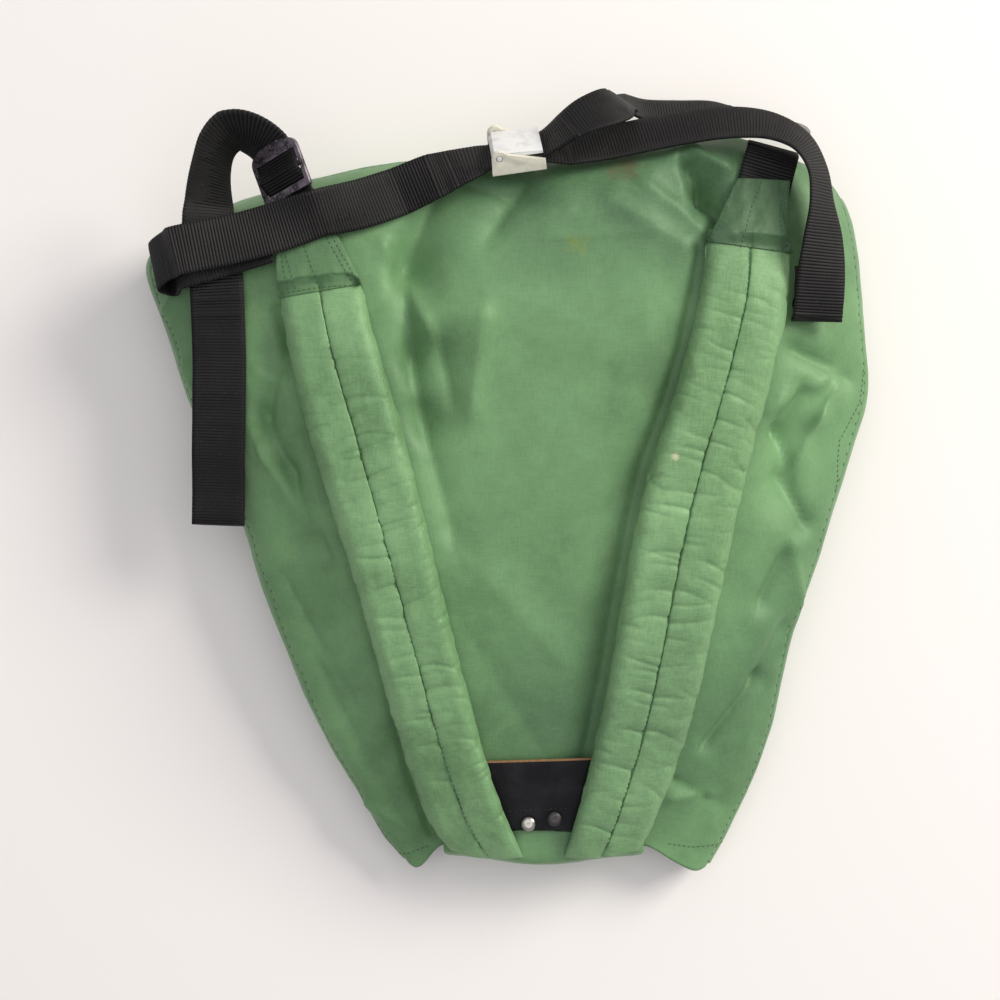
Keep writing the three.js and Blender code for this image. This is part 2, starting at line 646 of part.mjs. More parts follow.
/** Stations of a band that lies on the pile: its centre and the direction across it. */
function laidStations(route, width, count) {
  const curve = new THREE.CatmullRomCurve3(
    route.map((row) => new THREE.Vector3(row.x * bagWidth, row.y * bagLength, row.keep * bagDepth)), false, 'centripetal',
  );
  const centres = curve.getSpacedPoints(count - 1);
  const across = centres.map((p, i) => {
    const ahead = centres[Math.min(i + 1, count - 1)].clone().sub(centres[Math.max(i - 1, 0)]);
    return new THREE.Vector3(-ahead.y, ahead.x, 0).normalize();
  });
  const sideHeights = [-1, 1].map((side) => bridged(centres.map((p, i) => {
    let height = p.z;
    for (const share of [0.1, 0.4, 0.7, 1]) {
      const q = p.clone().addScaledVector(across[i], (side * share * width) / 2);
      height = Math.max(height, pile.top(q.x, q.y, restReach) + clearance);
    }
    return height;
  }), 8));
  return centres.map((p, i) => {
    const [low, high] = [sideHeights[0][i], sideHeights[1][i]];
    const direction = across[i].clone().multiplyScalar(width).setZ(high - low).normalize();
    const centre = new THREE.Vector3(p.x, p.y, (low + high) / 2 + webbingThickness / 2);
    return { centre, direction };
  });
}

/** A webbing band through a row of stations, with a flat section square to its run. */
function bandSolid(name, stations, width) {
  const facing = stations.map((s) => s.direction.clone());
  for (let i = 1; i < facing.length; i += 1) {
    if (facing[i].dot(facing[i - 1]) < 0) facing[i].negate();
  }
  const rings = stations.map(({ centre }, i) => {
    const before = stations[Math.max(i - 1, 0)].centre;
    const after = stations[Math.min(i + 1, stations.length - 1)].centre;
    const run = after.clone().sub(before).normalize();
    const normal = new THREE.Vector3().crossVectors(run, facing[i]).normalize();
    const half = facing[i].clone().multiplyScalar(width / 2);
    const thick = normal.multiplyScalar(webbingThickness / 2);
    return [[1, 1], [-1, 1], [-1, -1], [1, -1]].map(([w, t]) => (
      centre.clone().addScaledVector(half, w).addScaledVector(thick, t)
    ));
  });
  return loftSolid(name, rings, blackWebbing);
}

/** Stations of a band that stands free along a route, lifted where a piece that it passes over is in its way. */
function freeStations(route, width, count, over = pile) {
  const curve = new THREE.CatmullRomCurve3(
    route.map((row) => new THREE.Vector3(row.x * bagWidth, row.y * bagLength, row.z * bagDepth)), false, 'centripetal',
  );
  const steps = route.map((row, i) => ({ at: i / (route.length - 1), roll: row.roll }));
  let across = new THREE.Vector3(0, 1, 0);
  return Array.from({ length: count }, (_, i) => {
    const t = i / (count - 1);
    const centre = curve.getPoint(t);
    const run = curve.getTangent(t);
    const level = new THREE.Vector3(-run.y, run.x, 0);
    if (level.length() > 0.4) {
      if (i > 0 && level.dot(across) < 0) level.negate();
      across = level.normalize();
    }
    const roll = follow(steps, 'at', 'roll', t) * toRadians;
    const direction = across.clone().multiplyScalar(Math.cos(roll)).setZ(Math.sin(roll));
    let lift = 0;
    for (const share of [-1, -0.5, 0, 0.5, 1]) {
      const edge = centre.clone().addScaledVector(direction, (share * width) / 2);
      const sole = edge.z - (webbingThickness / 2) * Math.abs(Math.cos(roll));
      lift = Math.max(lift, over.top(edge.x, edge.y, over.cell) + clearance - sole);
    }
    centre.z += lift;
    return { centre, direction };
  });
}

/** The lid: sewn on along the back panel's end, round the mouth's edge and back under the bag's front. */
function lid() {
  const across = Array.from({ length: 11 }, (_, k) => THREE.MathUtils.lerp(lidLeft, lidRight, k / 10));
  const half = lidThickness / 2;
  const turn = clearance + lidThickness;
  const profiles = across.map((a) => {
    const edge = bagPoint(0, a, 1);
    const sole = (dy) => pile.top(edge.x, edge.y + dy, restReach) + clearance + half;
    const high = sole(lidRoot / 2);
    const outline = [
      [lidRoot, sole(lidRoot)],
      [lidRoot / 2, high],
      [-turn / 2, high],
      [-turn, high - turn],
      [-turn - lidEdgeBulge, high / 2],
      [-turn, half + turn],
      [-turn / 2, half],
      [lidReach * 0.3, half],
      [lidReach * 0.6, half],
      [lidReach * (1 - lidCornerDrop * (2 * a - lidLeft - lidRight) ** 4), half],
    ];
    return { edge, outline };
  });
  const centreOf = (profile, i) => {
    const [dy, z] = profile.outline[i];
    const flare = 1 + lidFlare * THREE.MathUtils.smoothstep(i, 6, 9);
    const middle = (profiles[0].edge.x + profiles.at(-1).edge.x) / 2;
    return new THREE.Vector3(middle + (profile.edge.x - middle) * flare, profile.edge.y + dy, z);
  };
  const rings = profiles[0].outline.map((_, i, list) => {
    const upper = [];
    const lower = [];
    for (const profile of profiles) {
      const before = profile.outline[Math.max(i - 1, 0)];
      const after = profile.outline[Math.min(i + 1, list.length - 1)];
      const run = new THREE.Vector2(after[0] - before[0], after[1] - before[1]).normalize();
      const outward = new THREE.Vector3(0, run.y, -run.x).multiplyScalar(half);
      upper.push(centreOf(profile, i).add(outward));
      lower.push(centreOf(profile, i).sub(outward));
    }
    return [...upper, ...lower.reverse()];
  });
  return loftSolid('lid', rings, greenNylon);
}

/** A domed rivet cap on the leather. */
function rivet({ name, x, y }) {
  const profile = [new THREE.Vector2(0, 0), new THREE.Vector2(rivetRadius, 0)];
  for (const angle of [15, 35, 55, 75]) {
    const a = angle * toRadians;
    profile.push(new THREE.Vector2(rivetRadius * Math.cos(a), rivetHeight * Math.sin(a)));
  }
  profile.push(new THREE.Vector2(0, rivetHeight));
  const mesh = new THREE.Mesh(new THREE.LatheGeometry(profile, 20), nickel);
  mesh.name = name;
  mesh.rotation.x = Math.PI / 2;
  mesh.position.set(x * bagWidth, y * bagLength, pile.top(x * bagWidth, y * bagLength, rivetRadius) + clearance);
  return mesh;
}

/** The turned frame of a piece of hardware: x across its webbing, y along it, z out of its face. */
function seatFrame({ x, y, turn, roll }) {
  const frame = new THREE.Group();
  frame.rotation.order = 'ZYX';
  frame.rotation.set(0, roll * toRadians, turn * toRadians);
  frame.position.set(x * bagWidth, y * bagLength, 0);
  frame.updateMatrixWorld(true);
  return frame;
}

/** Raises a frame until a plate below it clears the pile. */
function seat(frame, halfWidth, halfLength, depth) {
  let lift = 0;
  for (const u of [-1, -0.5, 0, 0.5, 1]) {
    for (const v of [-1, -0.5, 0, 0.5, 1]) {
      const p = frame.localToWorld(new THREE.Vector3(u * halfWidth, v * halfLength, -depth));
      lift = Math.max(lift, pile.top(p.x, p.y, pile.cell) + clearance - p.z);
    }
  }
  frame.position.z += lift;
  frame.updateMatrixWorld(true);
}

const lockWidth = adjusterWidth + 2 * (clearance + lockBar);
const lockLength = lockGrip + 2 * lockSlot + lockBar + lockFoot;
const lockMiddle = lockFoot + lockSlot + lockBar / 2;

/** A ladder lock: a domed grip, a middle bar and a foot bar between two side rails. */
function ladderLock(name, frame) {
  const left = -lockWidth / 2;
  const foot = -lockMiddle;
  const grip = foot + lockLength;
  const outline = new THREE.Shape();
  outline.moveTo(left, foot);
  outline.lineTo(-left, foot);
  outline.lineTo(-left, grip - lockGrip);
  outline.quadraticCurveTo(-left, grip, 0, grip);
  outline.quadraticCurveTo(left, grip, left, grip - lockGrip);
  outline.closePath();
  for (const low of [foot + lockFoot, lockBar / 2]) {
    const slot = new THREE.Path();
    slot.moveTo(left + lockBar, low);
    slot.lineTo(left + lockBar, low + lockSlot);
    slot.lineTo(-left - lockBar, low + lockSlot);
    slot.lineTo(-left - lockBar, low);
    slot.closePath();
    outline.holes.push(slot);
  }
  const geometry = new THREE.ExtrudeGeometry(outline, { depth: lockThickness, bevelEnabled: false, curveSegments: 8 });
  geometry.translate(0, 0, -lockThickness / 2);
  const mesh = new THREE.Mesh(geometry, steel);
  mesh.name = name;
  frame.add(mesh);
  return frame;
}

// How the webbing weaves through a lock: under the foot bar, over the middle bar and under the grip.
const weaveHeight = lockThickness / 2 + clearance + webbingThickness / 2;
const weave = [
  [-lockMiddle - 2, -weaveHeight - 0.4],
  [-lockMiddle + 1, -weaveHeight - 0.2],
  [-lockSlot - lockBar / 2 - 0.4, -weaveHeight],
  [-lockSlot / 2 - lockBar / 2, 0],
  [-lockBar / 2 - 0.3, weaveHeight],
  [0, weaveHeight + 0.2],
  [lockBar / 2 + 0.3, weaveHeight],
  [lockSlot / 2 + lockBar / 2, 0],
  [lockSlot + lockBar / 2 + 0.4, -weaveHeight],
  [lockLength - lockMiddle - 3, -weaveHeight - 0.2],
  [lockLength - lockMiddle + 2, -weaveHeight - 0.6],
];

/** Stations of webbing at places given in a piece of hardware's own frame. */
function framedStations(frame, places) {
  const direction = new THREE.Vector3(1, 0, 0).transformDirection(frame.matrixWorld);
  return places.map(([y, z]) => ({
    centre: frame.localToWorld(new THREE.Vector3(0, y, z)), direction: direction.clone(),
  }));
}

/** Joins overlapping closed geometries into one solid. */
function joined(name, geometries, material) {
  const solids = geometries.map((geometry) => {
    geometry.deleteAttribute('normal');
    geometry.deleteAttribute('uv');
    const merged = mergeVertices(geometry, 1e-4);
    return new wasm.Manifold(new wasm.Mesh({
      numProp: 3,
      vertProperties: new Float32Array(merged.getAttribute('position').array),
      triVerts: new Uint32Array(merged.index.array),
    }));
  });
  const result = solids.reduce((sum, solid) => sum.add(solid)).getMesh();
  const geometry = new THREE.BufferGeometry();
  geometry.setAttribute('position', new THREE.BufferAttribute(new Float32Array(result.vertProperties), 3));
  geometry.setIndex(new THREE.BufferAttribute(new Uint32Array(result.triVerts), 1));
  geometry.computeVertexNormals();
  const mesh = new THREE.Mesh(geometry, material);
  mesh.name = name;
  return mesh;
}

const pack = new THREE.Group();

/** Adds a finished piece to the pack and lets later pieces rest on it. */
function lay(object) {
  pack.add(object);
  object.updateMatrixWorld(true);
  object.traverse((part) => {
    if (part.isMesh) pile.add(part);
  });
  return object;
}

const bagPile = new Pile(2);
bagPanels().map(lay).forEach((panel) => bagPile.add(panel));
lay(lid());
lay(laidSheet('leather_patch', patchRows, 6, leatherThickness, blackLeather));
rivetPlaces.map(rivet).forEach(lay);
lay(paddedStrap('shoulder_strap_left', leftStrapRows));
lay(paddedStrap('shoulder_strap_right', rightStrapRows));

// The left adjuster runs from under its tab through the lock, loops over and ends in the free tail.
const leftLock = seatFrame(leftLockSeat);
seat(leftLock, lockWidth / 2, lockLength / 2, weaveHeight + webbingThickness);
const leftRoot = laidStations(leftAdjusterRootRoute, adjusterWidth, 3);
lay(ladderLock('ladder_lock_left', leftLock));
lay(bandSolid('adjuster_left', [
  ...leftRoot, ...framedStations(leftLock, weave), ...freeStations(leftAdjusterRoute, adjusterWidth, 34),
], adjusterWidth));
lay(bandSolid('strap_loop_right', laidStations(rightLoopRoute, adjusterWidth, 6), adjusterWidth));
lay(laidSheet('strap_tab_left', leftTabRows, 6, tabThickness, greenNylon));
lay(laidSheet('strap_tab_right', rightTabRows, 6, tabThickness, greenNylon));

// The buckle sits where the belt crosses the bag's base edge, rolled over it with the belt. Its own frame has
// x along the belt.
const buckleFrame = seatFrame(buckleSeat);
const buckle = new THREE.Group();
buckle.rotation.z = Math.PI / 2;
buckleFrame.add(buckle);
const buckleHalfWidth = beltWidth / 2 + clearance + buckleWall;
const bandLevel = (n) => buckleWall + (n - 0.5) * (webbingThickness + clearance);
seat(buckleFrame, buckleHalfWidth, buckleLength / 2, 0);

/** The cam buckle's frame and its closed lever, whose two trunnions turn in the frame's cheeks. */
function camBuckle(frame) {
  const half = buckleLength / 2;
  const crownRadius = buckleHeight * 0.4;
  const crownAt = -half + crownRadius + 0.5;
  const pinLevel = bandLevel(3) + webbingThickness / 2 + clearance + leverThickness / 2;
  const cheek = new THREE.Shape();
  cheek.moveTo(-half, 0);
  cheek.lineTo(half, 0);
  cheek.lineTo(half, pinLevel * 0.6);
  cheek.lineTo(crownAt + crownRadius * Math.sin(Math.PI / 3), pinLevel + crownRadius * Math.cos(Math.PI / 3));
  cheek.absarc(crownAt, pinLevel, crownRadius, Math.PI / 6, Math.PI, false);
  cheek.closePath();
  const pinHole = new THREE.Path();
  pinHole.absarc(crownAt, pinLevel, pinRadius + clearance, 0, 2 * Math.PI, true);
  cheek.holes.push(pinHole);
  const side = (outline, thickness, y) => {
    const geometry = new THREE.ExtrudeGeometry(outline, { depth: thickness, bevelEnabled: false, curveSegments: 10 });
    geometry.translate(0, 0, -thickness / 2);
    geometry.rotateX(Math.PI / 2);
    geometry.translate(0, y, 0);
    return geometry;
  };
  const cheekPlace = buckleHalfWidth - buckleWall / 2;
  const plate = new THREE.BoxGeometry(buckleLength, 2 * buckleHalfWidth, buckleWall);
  plate.translate(0, 0, buckleWall / 2);
  frame.add(joined('buckle_frame', [plate, side(cheek, buckleWall, cheekPlace), side(cheek, buckleWall, -cheekPlace)],
    whitePlastic));

  const low = pinLevel - leverThickness / 2;
  const lever = new THREE.Shape();
  lever.moveTo(-half + 0.6, low);
  lever.lineTo(half * 0.94, low);
  lever.lineTo(half * 0.94, low + leverThickness * 0.8);
  lever.lineTo(-half + 2.5, low + leverThickness * 1.3);
  lever.closePath();
  const trunnion = new THREE.CylinderGeometry(pinRadius, pinRadius, 2 * buckleHalfWidth, 18);
  trunnion.translate(crownAt, 0, pinLevel);
  const leverWidth = 2 * (buckleHalfWidth - buckleWall - clearance);
  frame.add(joined('buckle_lever', [side(lever, leverWidth, 0), trunnion], whitePlastic));
}
camBuckle(buckle);
lay(buckleFrame);

/** Stations inside the buckle at a level of its stack, from one place along it to another. */
function buckleStations(level, from, to) {
  const direction = new THREE.Vector3(0, 1, 0).transformDirection(buckle.matrixWorld);
  return [from, (from + to) / 2, to].map((x) => ({
    centre: buckle.localToWorld(new THREE.Vector3(x, 0, bandLevel(level))), direction: direction.clone(),
  }));
}
const innerEnd = 0.6;
const mouthOfBuckle = buckleLength / 2 + 1;

// The belt's left half is folded back under itself at its outer end and runs to the buckle.
const beltUnder = laidStations(beltUnderRoute, beltWidth, 18);
beltUnder.forEach(({ centre, direction }) => {
  for (const w of [-0.5, -0.25, 0, 0.25, 0.5]) {
    const p = centre.clone().addScaledVector(direction, w * beltWidth);
    pile.raise(Math.round(p.x / pile.cell), Math.round(p.y / pile.cell), p.z + webbingThickness / 2);
  }
});
const beltTop = laidStations(beltLeftRoute, beltWidth, 26);

/** The stations that turn a band over its end, from a lower layer to the one above it. */
function foldOver(lower, upper) {
  const outward = new THREE.Vector3().subVectors(upper[0].centre, upper[1].centre).setZ(0).normalize();
  return [0.25, 0.5, 0.75].map((t) => {
    const centre = new THREE.Vector3().lerpVectors(lower.at(-1).centre, upper[0].centre, t);
    const radius = Math.max((upper[0].centre.z - lower.at(-1).centre.z) / 2, webbingThickness);
    centre.addScaledVector(outward, radius * Math.sin(t * Math.PI));
    return { centre, direction: upper[0].direction.clone() };
  });
}
lay(bandSolid('belt_left', [
  ...beltUnder, ...foldOver(beltUnder, beltTop), ...beltTop,
  ...freeStations(beltLeftEndRoute, beltWidth, 3), ...buckleStations(1, -mouthOfBuckle, -innerEnd),
], beltWidth));
lay(bandSolid('belt_right', [
  ...buckleStations(1, innerEnd, mouthOfBuckle), ...freeStations(beltRightRoute, beltWidth, 64),
], beltWidth));
const rightLock = seatFrame(rightLockSeat);
rightLock.position.z = rightLockSeat.z * bagDepth;
rightLock.updateMatrixWorld(true);
lay(ladderLock('ladder_lock_right', rightLock));
lay(bandSolid('belt_tail', [
  ...buckleStations(3, -innerEnd * 8, mouthOfBuckle), ...freeStations(beltTailRoute, beltWidth, 34, bagPile),
  ...framedStations(rightLock, weave),
], beltWidth));

// The origin is on the floor, in the middle of the ground that the whole pack covers.
const footprint = new THREE.Box3().setFromObject(pack, true);
pack.position.x = -(footprint.min.x + footprint.max.x) / 2;
pack.position.y = -(footprint.min.y + footprint.max.y) / 2;

export default pack;
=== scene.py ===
import bisect
import math
import random

import bmesh
import bpy
from mathutils import Matrix, Vector, noise
from mathutils.bvhtree import BVHTree
from mathutils.kdtree import KDTree


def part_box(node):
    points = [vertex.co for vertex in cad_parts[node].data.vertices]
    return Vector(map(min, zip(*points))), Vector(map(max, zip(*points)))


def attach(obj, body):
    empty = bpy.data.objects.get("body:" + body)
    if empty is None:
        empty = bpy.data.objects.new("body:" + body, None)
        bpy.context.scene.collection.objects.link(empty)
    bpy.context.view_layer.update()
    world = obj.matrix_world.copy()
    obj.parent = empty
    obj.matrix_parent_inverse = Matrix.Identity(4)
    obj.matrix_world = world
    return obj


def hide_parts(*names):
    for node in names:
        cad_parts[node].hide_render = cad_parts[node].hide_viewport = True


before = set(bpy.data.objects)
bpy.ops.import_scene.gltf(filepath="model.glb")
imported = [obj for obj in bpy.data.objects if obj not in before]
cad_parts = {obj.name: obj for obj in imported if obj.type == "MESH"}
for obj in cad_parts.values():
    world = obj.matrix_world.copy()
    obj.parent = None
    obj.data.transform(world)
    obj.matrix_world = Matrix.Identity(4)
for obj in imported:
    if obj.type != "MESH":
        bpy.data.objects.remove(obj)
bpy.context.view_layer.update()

# The bag: five panels of coated plain-weave nylon, cut flat, sewn edge to edge and open at the mouth. The cloth
# is worn soft, so the empty bag lies in broad hollows with a few sharp creases and a fine crumple all over.
MM = 0.001
CLOTH = 1.1 * MM
PANELS = {
    "back_panel": Vector((0, 0, 1)),
    "front_panel": Vector((0, 0, -1)),
    "side_panel_left": Vector((-1, 0, 0)),
    "side_panel_right": Vector((1, 0, 0)),
    "base_panel": Vector((0, 1, 0)),
}

# Creases, in millimetres, in five columns: the first end, the second end, the reach to the left and to the
# right of the run from the first to the second, and the height, below zero for a valley.
BAG_CREASES = [
    ((-44, 171), (-62, 127), 16, 5, -9.6),
    ((-62, 127), (-57, 73), 15, 5, -9.3),
    ((-57, 73), (-50, 37), 14, 6, -7.5),
    ((-50, 37), (-34, -23), 17, 7, -6.3),
    ((-40, 84), (-33, 52), 8, 5, -3.9),
    ((-14, 95), (-20, 47), 7, 12, 5.1),
    ((-70, 136), (-45, 90), 5, 9, 5.1),
    ((-6, 151), (10, 181), 15, 10, -8.9),
    ((-20, 175), (10, 167), 12, 12, -5.5),
    ((21, 142), (84, 146), 1.6, 2.2, 1),
    ((103, 183), (110, 167), 7, 4, -10.9),
    ((110, 167), (122, 155), 6, 4, -9.1),
    ((109, 193), (126, 183), 6, 5, 6.2),
    ((98, 189), (103, 165), 5, 8, 5.5),
    ((80, 171), (108, 149), 5, 6, 4),
    ((60, 163), (98, 139), 6, 8, 3.2),
    ((-125, 91), (-143, 38), 5, 11, -7.3),
    ((-143, 38), (-128, 7), 8, 5, -6.5),
    ((-128, 7), (-108, -41), 5, 10, -6.2),
    ((-134, 61), (-152, 69), 6, 6, 4.4),
    ((-150, 29), (-118, -21), 8, 7, 5.9),
    ((-171, 51), (-157, 4), 7, 9, -4.7),
    ((-200, 107), (-176, 131), 6, 9, 4.7),
    ((-190, 69), (-176, 39), 6, 6, 4),
    ((-130, -61), (-96, -121), 10, 12, -5.5),
    ((-112, -111), (-80, -169), 8, 9, -4.7),
    ((-84, -193), (-60, -207), 6, 6, 3.2),
    ((170, 55), (160, 31), 6, 4, -8.1),
    ((160, 31), (166, 7), 5, 9, -7.3),
    ((192, 59), (181, 41), 5, 7, 6.2),
    ((150, 45), (186, 65), 6, 7, 5.5),
    ((181, 41), (166, 7), 5, 6, 5.1),
    ((162, 4), (176, -21), 4, 8, -6.5),
    ((168, 79), (196, 65), 5, 8, -6.5),
    ((150, -67), (163, -41), 5, 8, -6.9),
    ((168, -39), (176, -79), 6, 5, 4.4),
    ((118, -153), (147, -114), 3, 6, -5.5),
    ((147, -114), (163, -85), 4, 7, -4),
    ((98, -187), (122, -185), 4, 4, 3.2),
    ((100, -177), (126, -191), 5, 4, -3.2),
    ((74, 7), (92, 51), 11, 12, -3.2),
    ((20, -31), (64, -9), 22, 22, -3.2),
    ((-20, -91), (10, -141), 20, 22, -3.2),
    ((-8, -59), (30, -101), 14, 18, 2.2),
    ((-30, 119), (30, 99), 16, 16, 1.8),
]


def linear(code):
    """An sRGB hex colour as the linear values that Blender's sockets take."""
    parts = [int(code[i:i + 2], 16) / 255 for i in (1, 3, 5)]
    return tuple(p / 12.92 if p <= 0.04045 else ((p + 0.055) / 1.055) ** 2.4 for p in parts) + (1,)


def add_node(tree, kind, inputs=(), out=0, **settings):
    """Adds a shader node, sets its properties, fills or links its inputs, and gives one of its outputs."""
    node = tree.nodes.new(kind)
    for name, value in settings.items():
        setattr(node, name, value)
    for key, value in dict(inputs).items():
        if isinstance(value, bpy.types.NodeSocket):
            tree.links.new(value, node.inputs[key])
        else:
            node.inputs[key].default_value = linear(value) if isinstance(value, str) else value
    return node.outputs[out] if node.outputs else None


def new_material(name):
    """An empty material: itself, its tree, its Principled shader and its place on the object."""
    material = bpy.data.materials.new(name)
    material.use_nodes = True
    tree = material.node_tree
    tree.nodes.clear()
    surface = add_node(tree, "ShaderNodeBsdfPrincipled")
    add_node(tree, "ShaderNodeOutputMaterial", {0: surface})
    return material, tree, surface.node, add_node(tree, "ShaderNodeTexCoord", out="Object")


# Plain-weave nylon, dyed green, calendered on its face: a satin shine on the slopes that face the light, and a
# fine thread grain. The real threads are 0.3 mm apart, too fine to show, so uneven ones are drawn 0.9 mm apart.
THREAD_SPACING = 0.9 * MM


def woven_nylon(name, base, faded, deep, turn=0.0, grain_depth=0.1, stains_and_painted_shade=()):
    """Worn nylon cloth, its weave turned by some degrees. Each stain or patch of painted shade has a place, a
    reach, a share and a tint.
    """
    material, tree, shader, place = new_material(name)
    sets = []
    for stretch in ((1.0, 0.13, 1.0), (0.13, 1.0, 1.0)):
        run = add_node(tree, "ShaderNodeMapping",
                       {"Vector": place, "Rotation": (0, 0, math.radians(turn)), "Scale": stretch})
        sets.append(add_node(tree, "ShaderNodeTexNoise",
                             {"Vector": run, "Scale": 1 / THREAD_SPACING, "Detail": 1.0}))
    grain = add_node(tree, "ShaderNodeMath", {0: sets[0], 1: sets[1]}, operation="ADD")
    patchy = add_node(tree, "ShaderNodeTexNoise",
                      {"Vector": place, "Scale": 11.0, "Detail": 5.0, "Roughness": 0.6})
    broad = add_node(tree, "ShaderNodeTexNoise", {"Vector": place, "Scale": 4.5, "Detail": 2.0})
    rubbed = add_node(tree, "ShaderNodeTexNoise",
                      {"Vector": place, "Scale": 55.0, "Detail": 4.0, "Roughness": 0.7})
    share = add_node(tree, "ShaderNodeMapRange", {0: patchy, 1: 0.36, 2: 0.66})
    colour = add_node(tree, "ShaderNodeMix", {0: share, 6: base, 7: faded}, out=2, data_type="RGBA")
    share = add_node(tree, "ShaderNodeMapRange", {0: broad, 1: 0.5, 2: 0.7, 4: 0.6})
    colour = add_node(tree, "ShaderNodeMix", {0: share, 6: colour, 7: deep}, out=2, data_type="RGBA")
    share = add_node(tree, "ShaderNodeMapRange", {0: rubbed, 1: 0.5, 2: 0.75, 4: 0.28})
    colour = add_node(tree, "ShaderNodeMix", {0: share, 6: colour, 7: faded}, out=2, data_type="RGBA")
    share = add_node(tree, "ShaderNodeMapRange", {0: grain, 1: 0.8, 2: 1.0, 3: 2 * grain_depth, 4: 0.0})
    colour = add_node(tree, "ShaderNodeMix", {0: share, 6: colour, 7: deep}, out=2, data_type="RGBA")
    share = add_node(tree, "ShaderNodeMapRange", {0: grain, 1: 1.0, 2: 1.2, 4: 2 * grain_depth})
    colour = add_node(tree, "ShaderNodeMix", {0: share, 6: colour, 7: faded}, out=2, data_type="RGBA")
    ragged = add_node(tree, "ShaderNodeTexNoise",
                      {"Vector": place, "Scale": 150.0, "Detail": 5.0, "Roughness": 0.7})
    for spot, reach, strength, tint in stains_and_painted_shade:
        away = add_node(tree, "ShaderNodeVectorMath", {0: place, 1: Vector(spot) * MM},
                        out=1, operation="DISTANCE")
        edge = add_node(tree, "ShaderNodeMath", {0: ragged, 1: reach * 2.2 * MM, 2: away},
                        operation="MULTIPLY_ADD")
        share = add_node(tree, "ShaderNodeMapRange",
                         {0: edge, 1: reach * 1.3 * MM, 2: reach * 2.1 * MM, 3: strength, 4: 0.0})
        colour = add_node(tree, "ShaderNodeMix", {0: share, 6: colour, 7: tint}, out=2, data_type="RGBA")
    tree.links.new(colour, shader.inputs["Base Color"])
    crumple = add_node(tree, "ShaderNodeTexNoise",
                       {"Vector": place, "Scale": 46.0, "Detail": 4.0, "Distortion": 1.0})
    soft = add_node(tree, "ShaderNodeBump", {"Height": crumple, "Strength": 0.22, "Distance": 1.6 * MM})
    fine = add_node(tree, "ShaderNodeBump",
                    {"Height": grain, "Strength": 0.3, "Distance": 0.18 * MM, "Normal": soft})
    tree.links.new(fine, shader.inputs["Normal"])
    rough = add_node(tree, "ShaderNodeMapRange", {0: rubbed, 1: 0.3, 2: 0.7, 3: 0.47, 4: 0.58})
    tree.links.new(rough, shader.inputs["Roughness"])
    shader.inputs["Specular IOR Level"].default_value = 0.62
    shader.inputs["Specular Tint"].default_value = linear("#D4EACC")
    shader.inputs["Sheen Weight"].default_value = 0.1
    shader.inputs["Sheen Roughness"].default_value = 0.4
    shader.inputs["Sheen Tint"].default_value = linear("#C8E6C4")
    return material


bag_nylon = woven_nylon("green nylon, worn", "#577A50", "#749C6A", "#3C5A42", grain_depth=0.05, stains_and_painted_shade=(
    ((40, 138, 92), 8, 0.75, "#7F8A38"),
    ((36, 132, 92), 4, 0.6, "#8C8F45"),
    ((68, 185, 84), 13, 0.6, "#5C5038"),
    ((60, 178, 84), 5, 0.5, "#6B5C40"),
    ((34, 133, 92), 1.2, 0.8, "#2F4A2F"),
    # A broad dark green patch under the buckle and the belt: painted shade, not a stain.
    ((6, 181, 84), 22, 0.3, "#34493A"),
))


def merged_copy(node):
    """A copy of a CAD node's mesh with its loose triangles joined at their corners."""
    copy = bmesh.new()
    copy.from_mesh(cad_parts[node].data)
    bmesh.ops.remove_doubles(copy, verts=copy.verts, dist=0.01 * MM)
    return copy


def islands(faces):
    """The groups of faces that hang together."""
    left = set(faces)
    found = []
    while left:
        group = {left.pop()}
        edge = list(group)
        while edge:
            face = edge.pop()
            for side in face.edges:
                for other in side.link_faces:
                    if other in left:
                        left.discard(other)
                        group.add(other)
                        edge.append(other)
        found.append(group)
    return found


def outer_face(copy, outward, thinnest):
    """Leaves only the outer cloth face of a panel: its rim and its inner face are deleted."""
    rim = [f for f in copy.faces if min(e.calc_length() for e in f.edges) < thinnest]
    bmesh.ops.delete(copy, geom=rim, context="FACES")
    groups = islands(copy.faces)
    mean = [sum((f.calc_center_median().dot(outward) for f in g), 0.0) / len(g) for g in groups]
    large = [i for i, g in enumerate(groups) if len(g) * 3 > len(copy.faces)]
    kept = groups[max(large, key=lambda i: mean[i])]
    bmesh.ops.delete(copy, geom=[f for f in copy.faces if f not in kept], context="FACES")


def quads(copy):
    """Joins the pairs of triangles that were one four-sided cell."""
    bmesh.ops.join_triangles(copy, faces=copy.faces[:], cmp_materials=True,
                             angle_face_threshold=math.radians(80), angle_shape_threshold=math.radians(70))


def refined(shape, levels, firmness=None):
    """The shape smoothed by subdivision, with its edges kept as firm as a rule gives, from 0 to 1."""
    if firmness:
        layer = shape.edges.layers.float.new("crease_edge")
        for edge in shape.edges:
            edge[layer] = firmness(edge)
    data = bpy.data.meshes.new("refined")
    shape.to_mesh(data)
    shape.free()
    carrier = bpy.data.objects.new("refined", data)
    bpy.context.scene.collection.objects.link(carrier)
    soft = carrier.modifiers.new("soft", "SUBSURF")
    soft.levels = soft.render_levels = levels
    result = bpy.data.meshes.new_from_object(carrier.evaluated_get(bpy.context.evaluated_depsgraph_get()))
    bpy.data.objects.remove(carrier)
    out = bmesh.new()
    out.from_mesh(result)
    return out


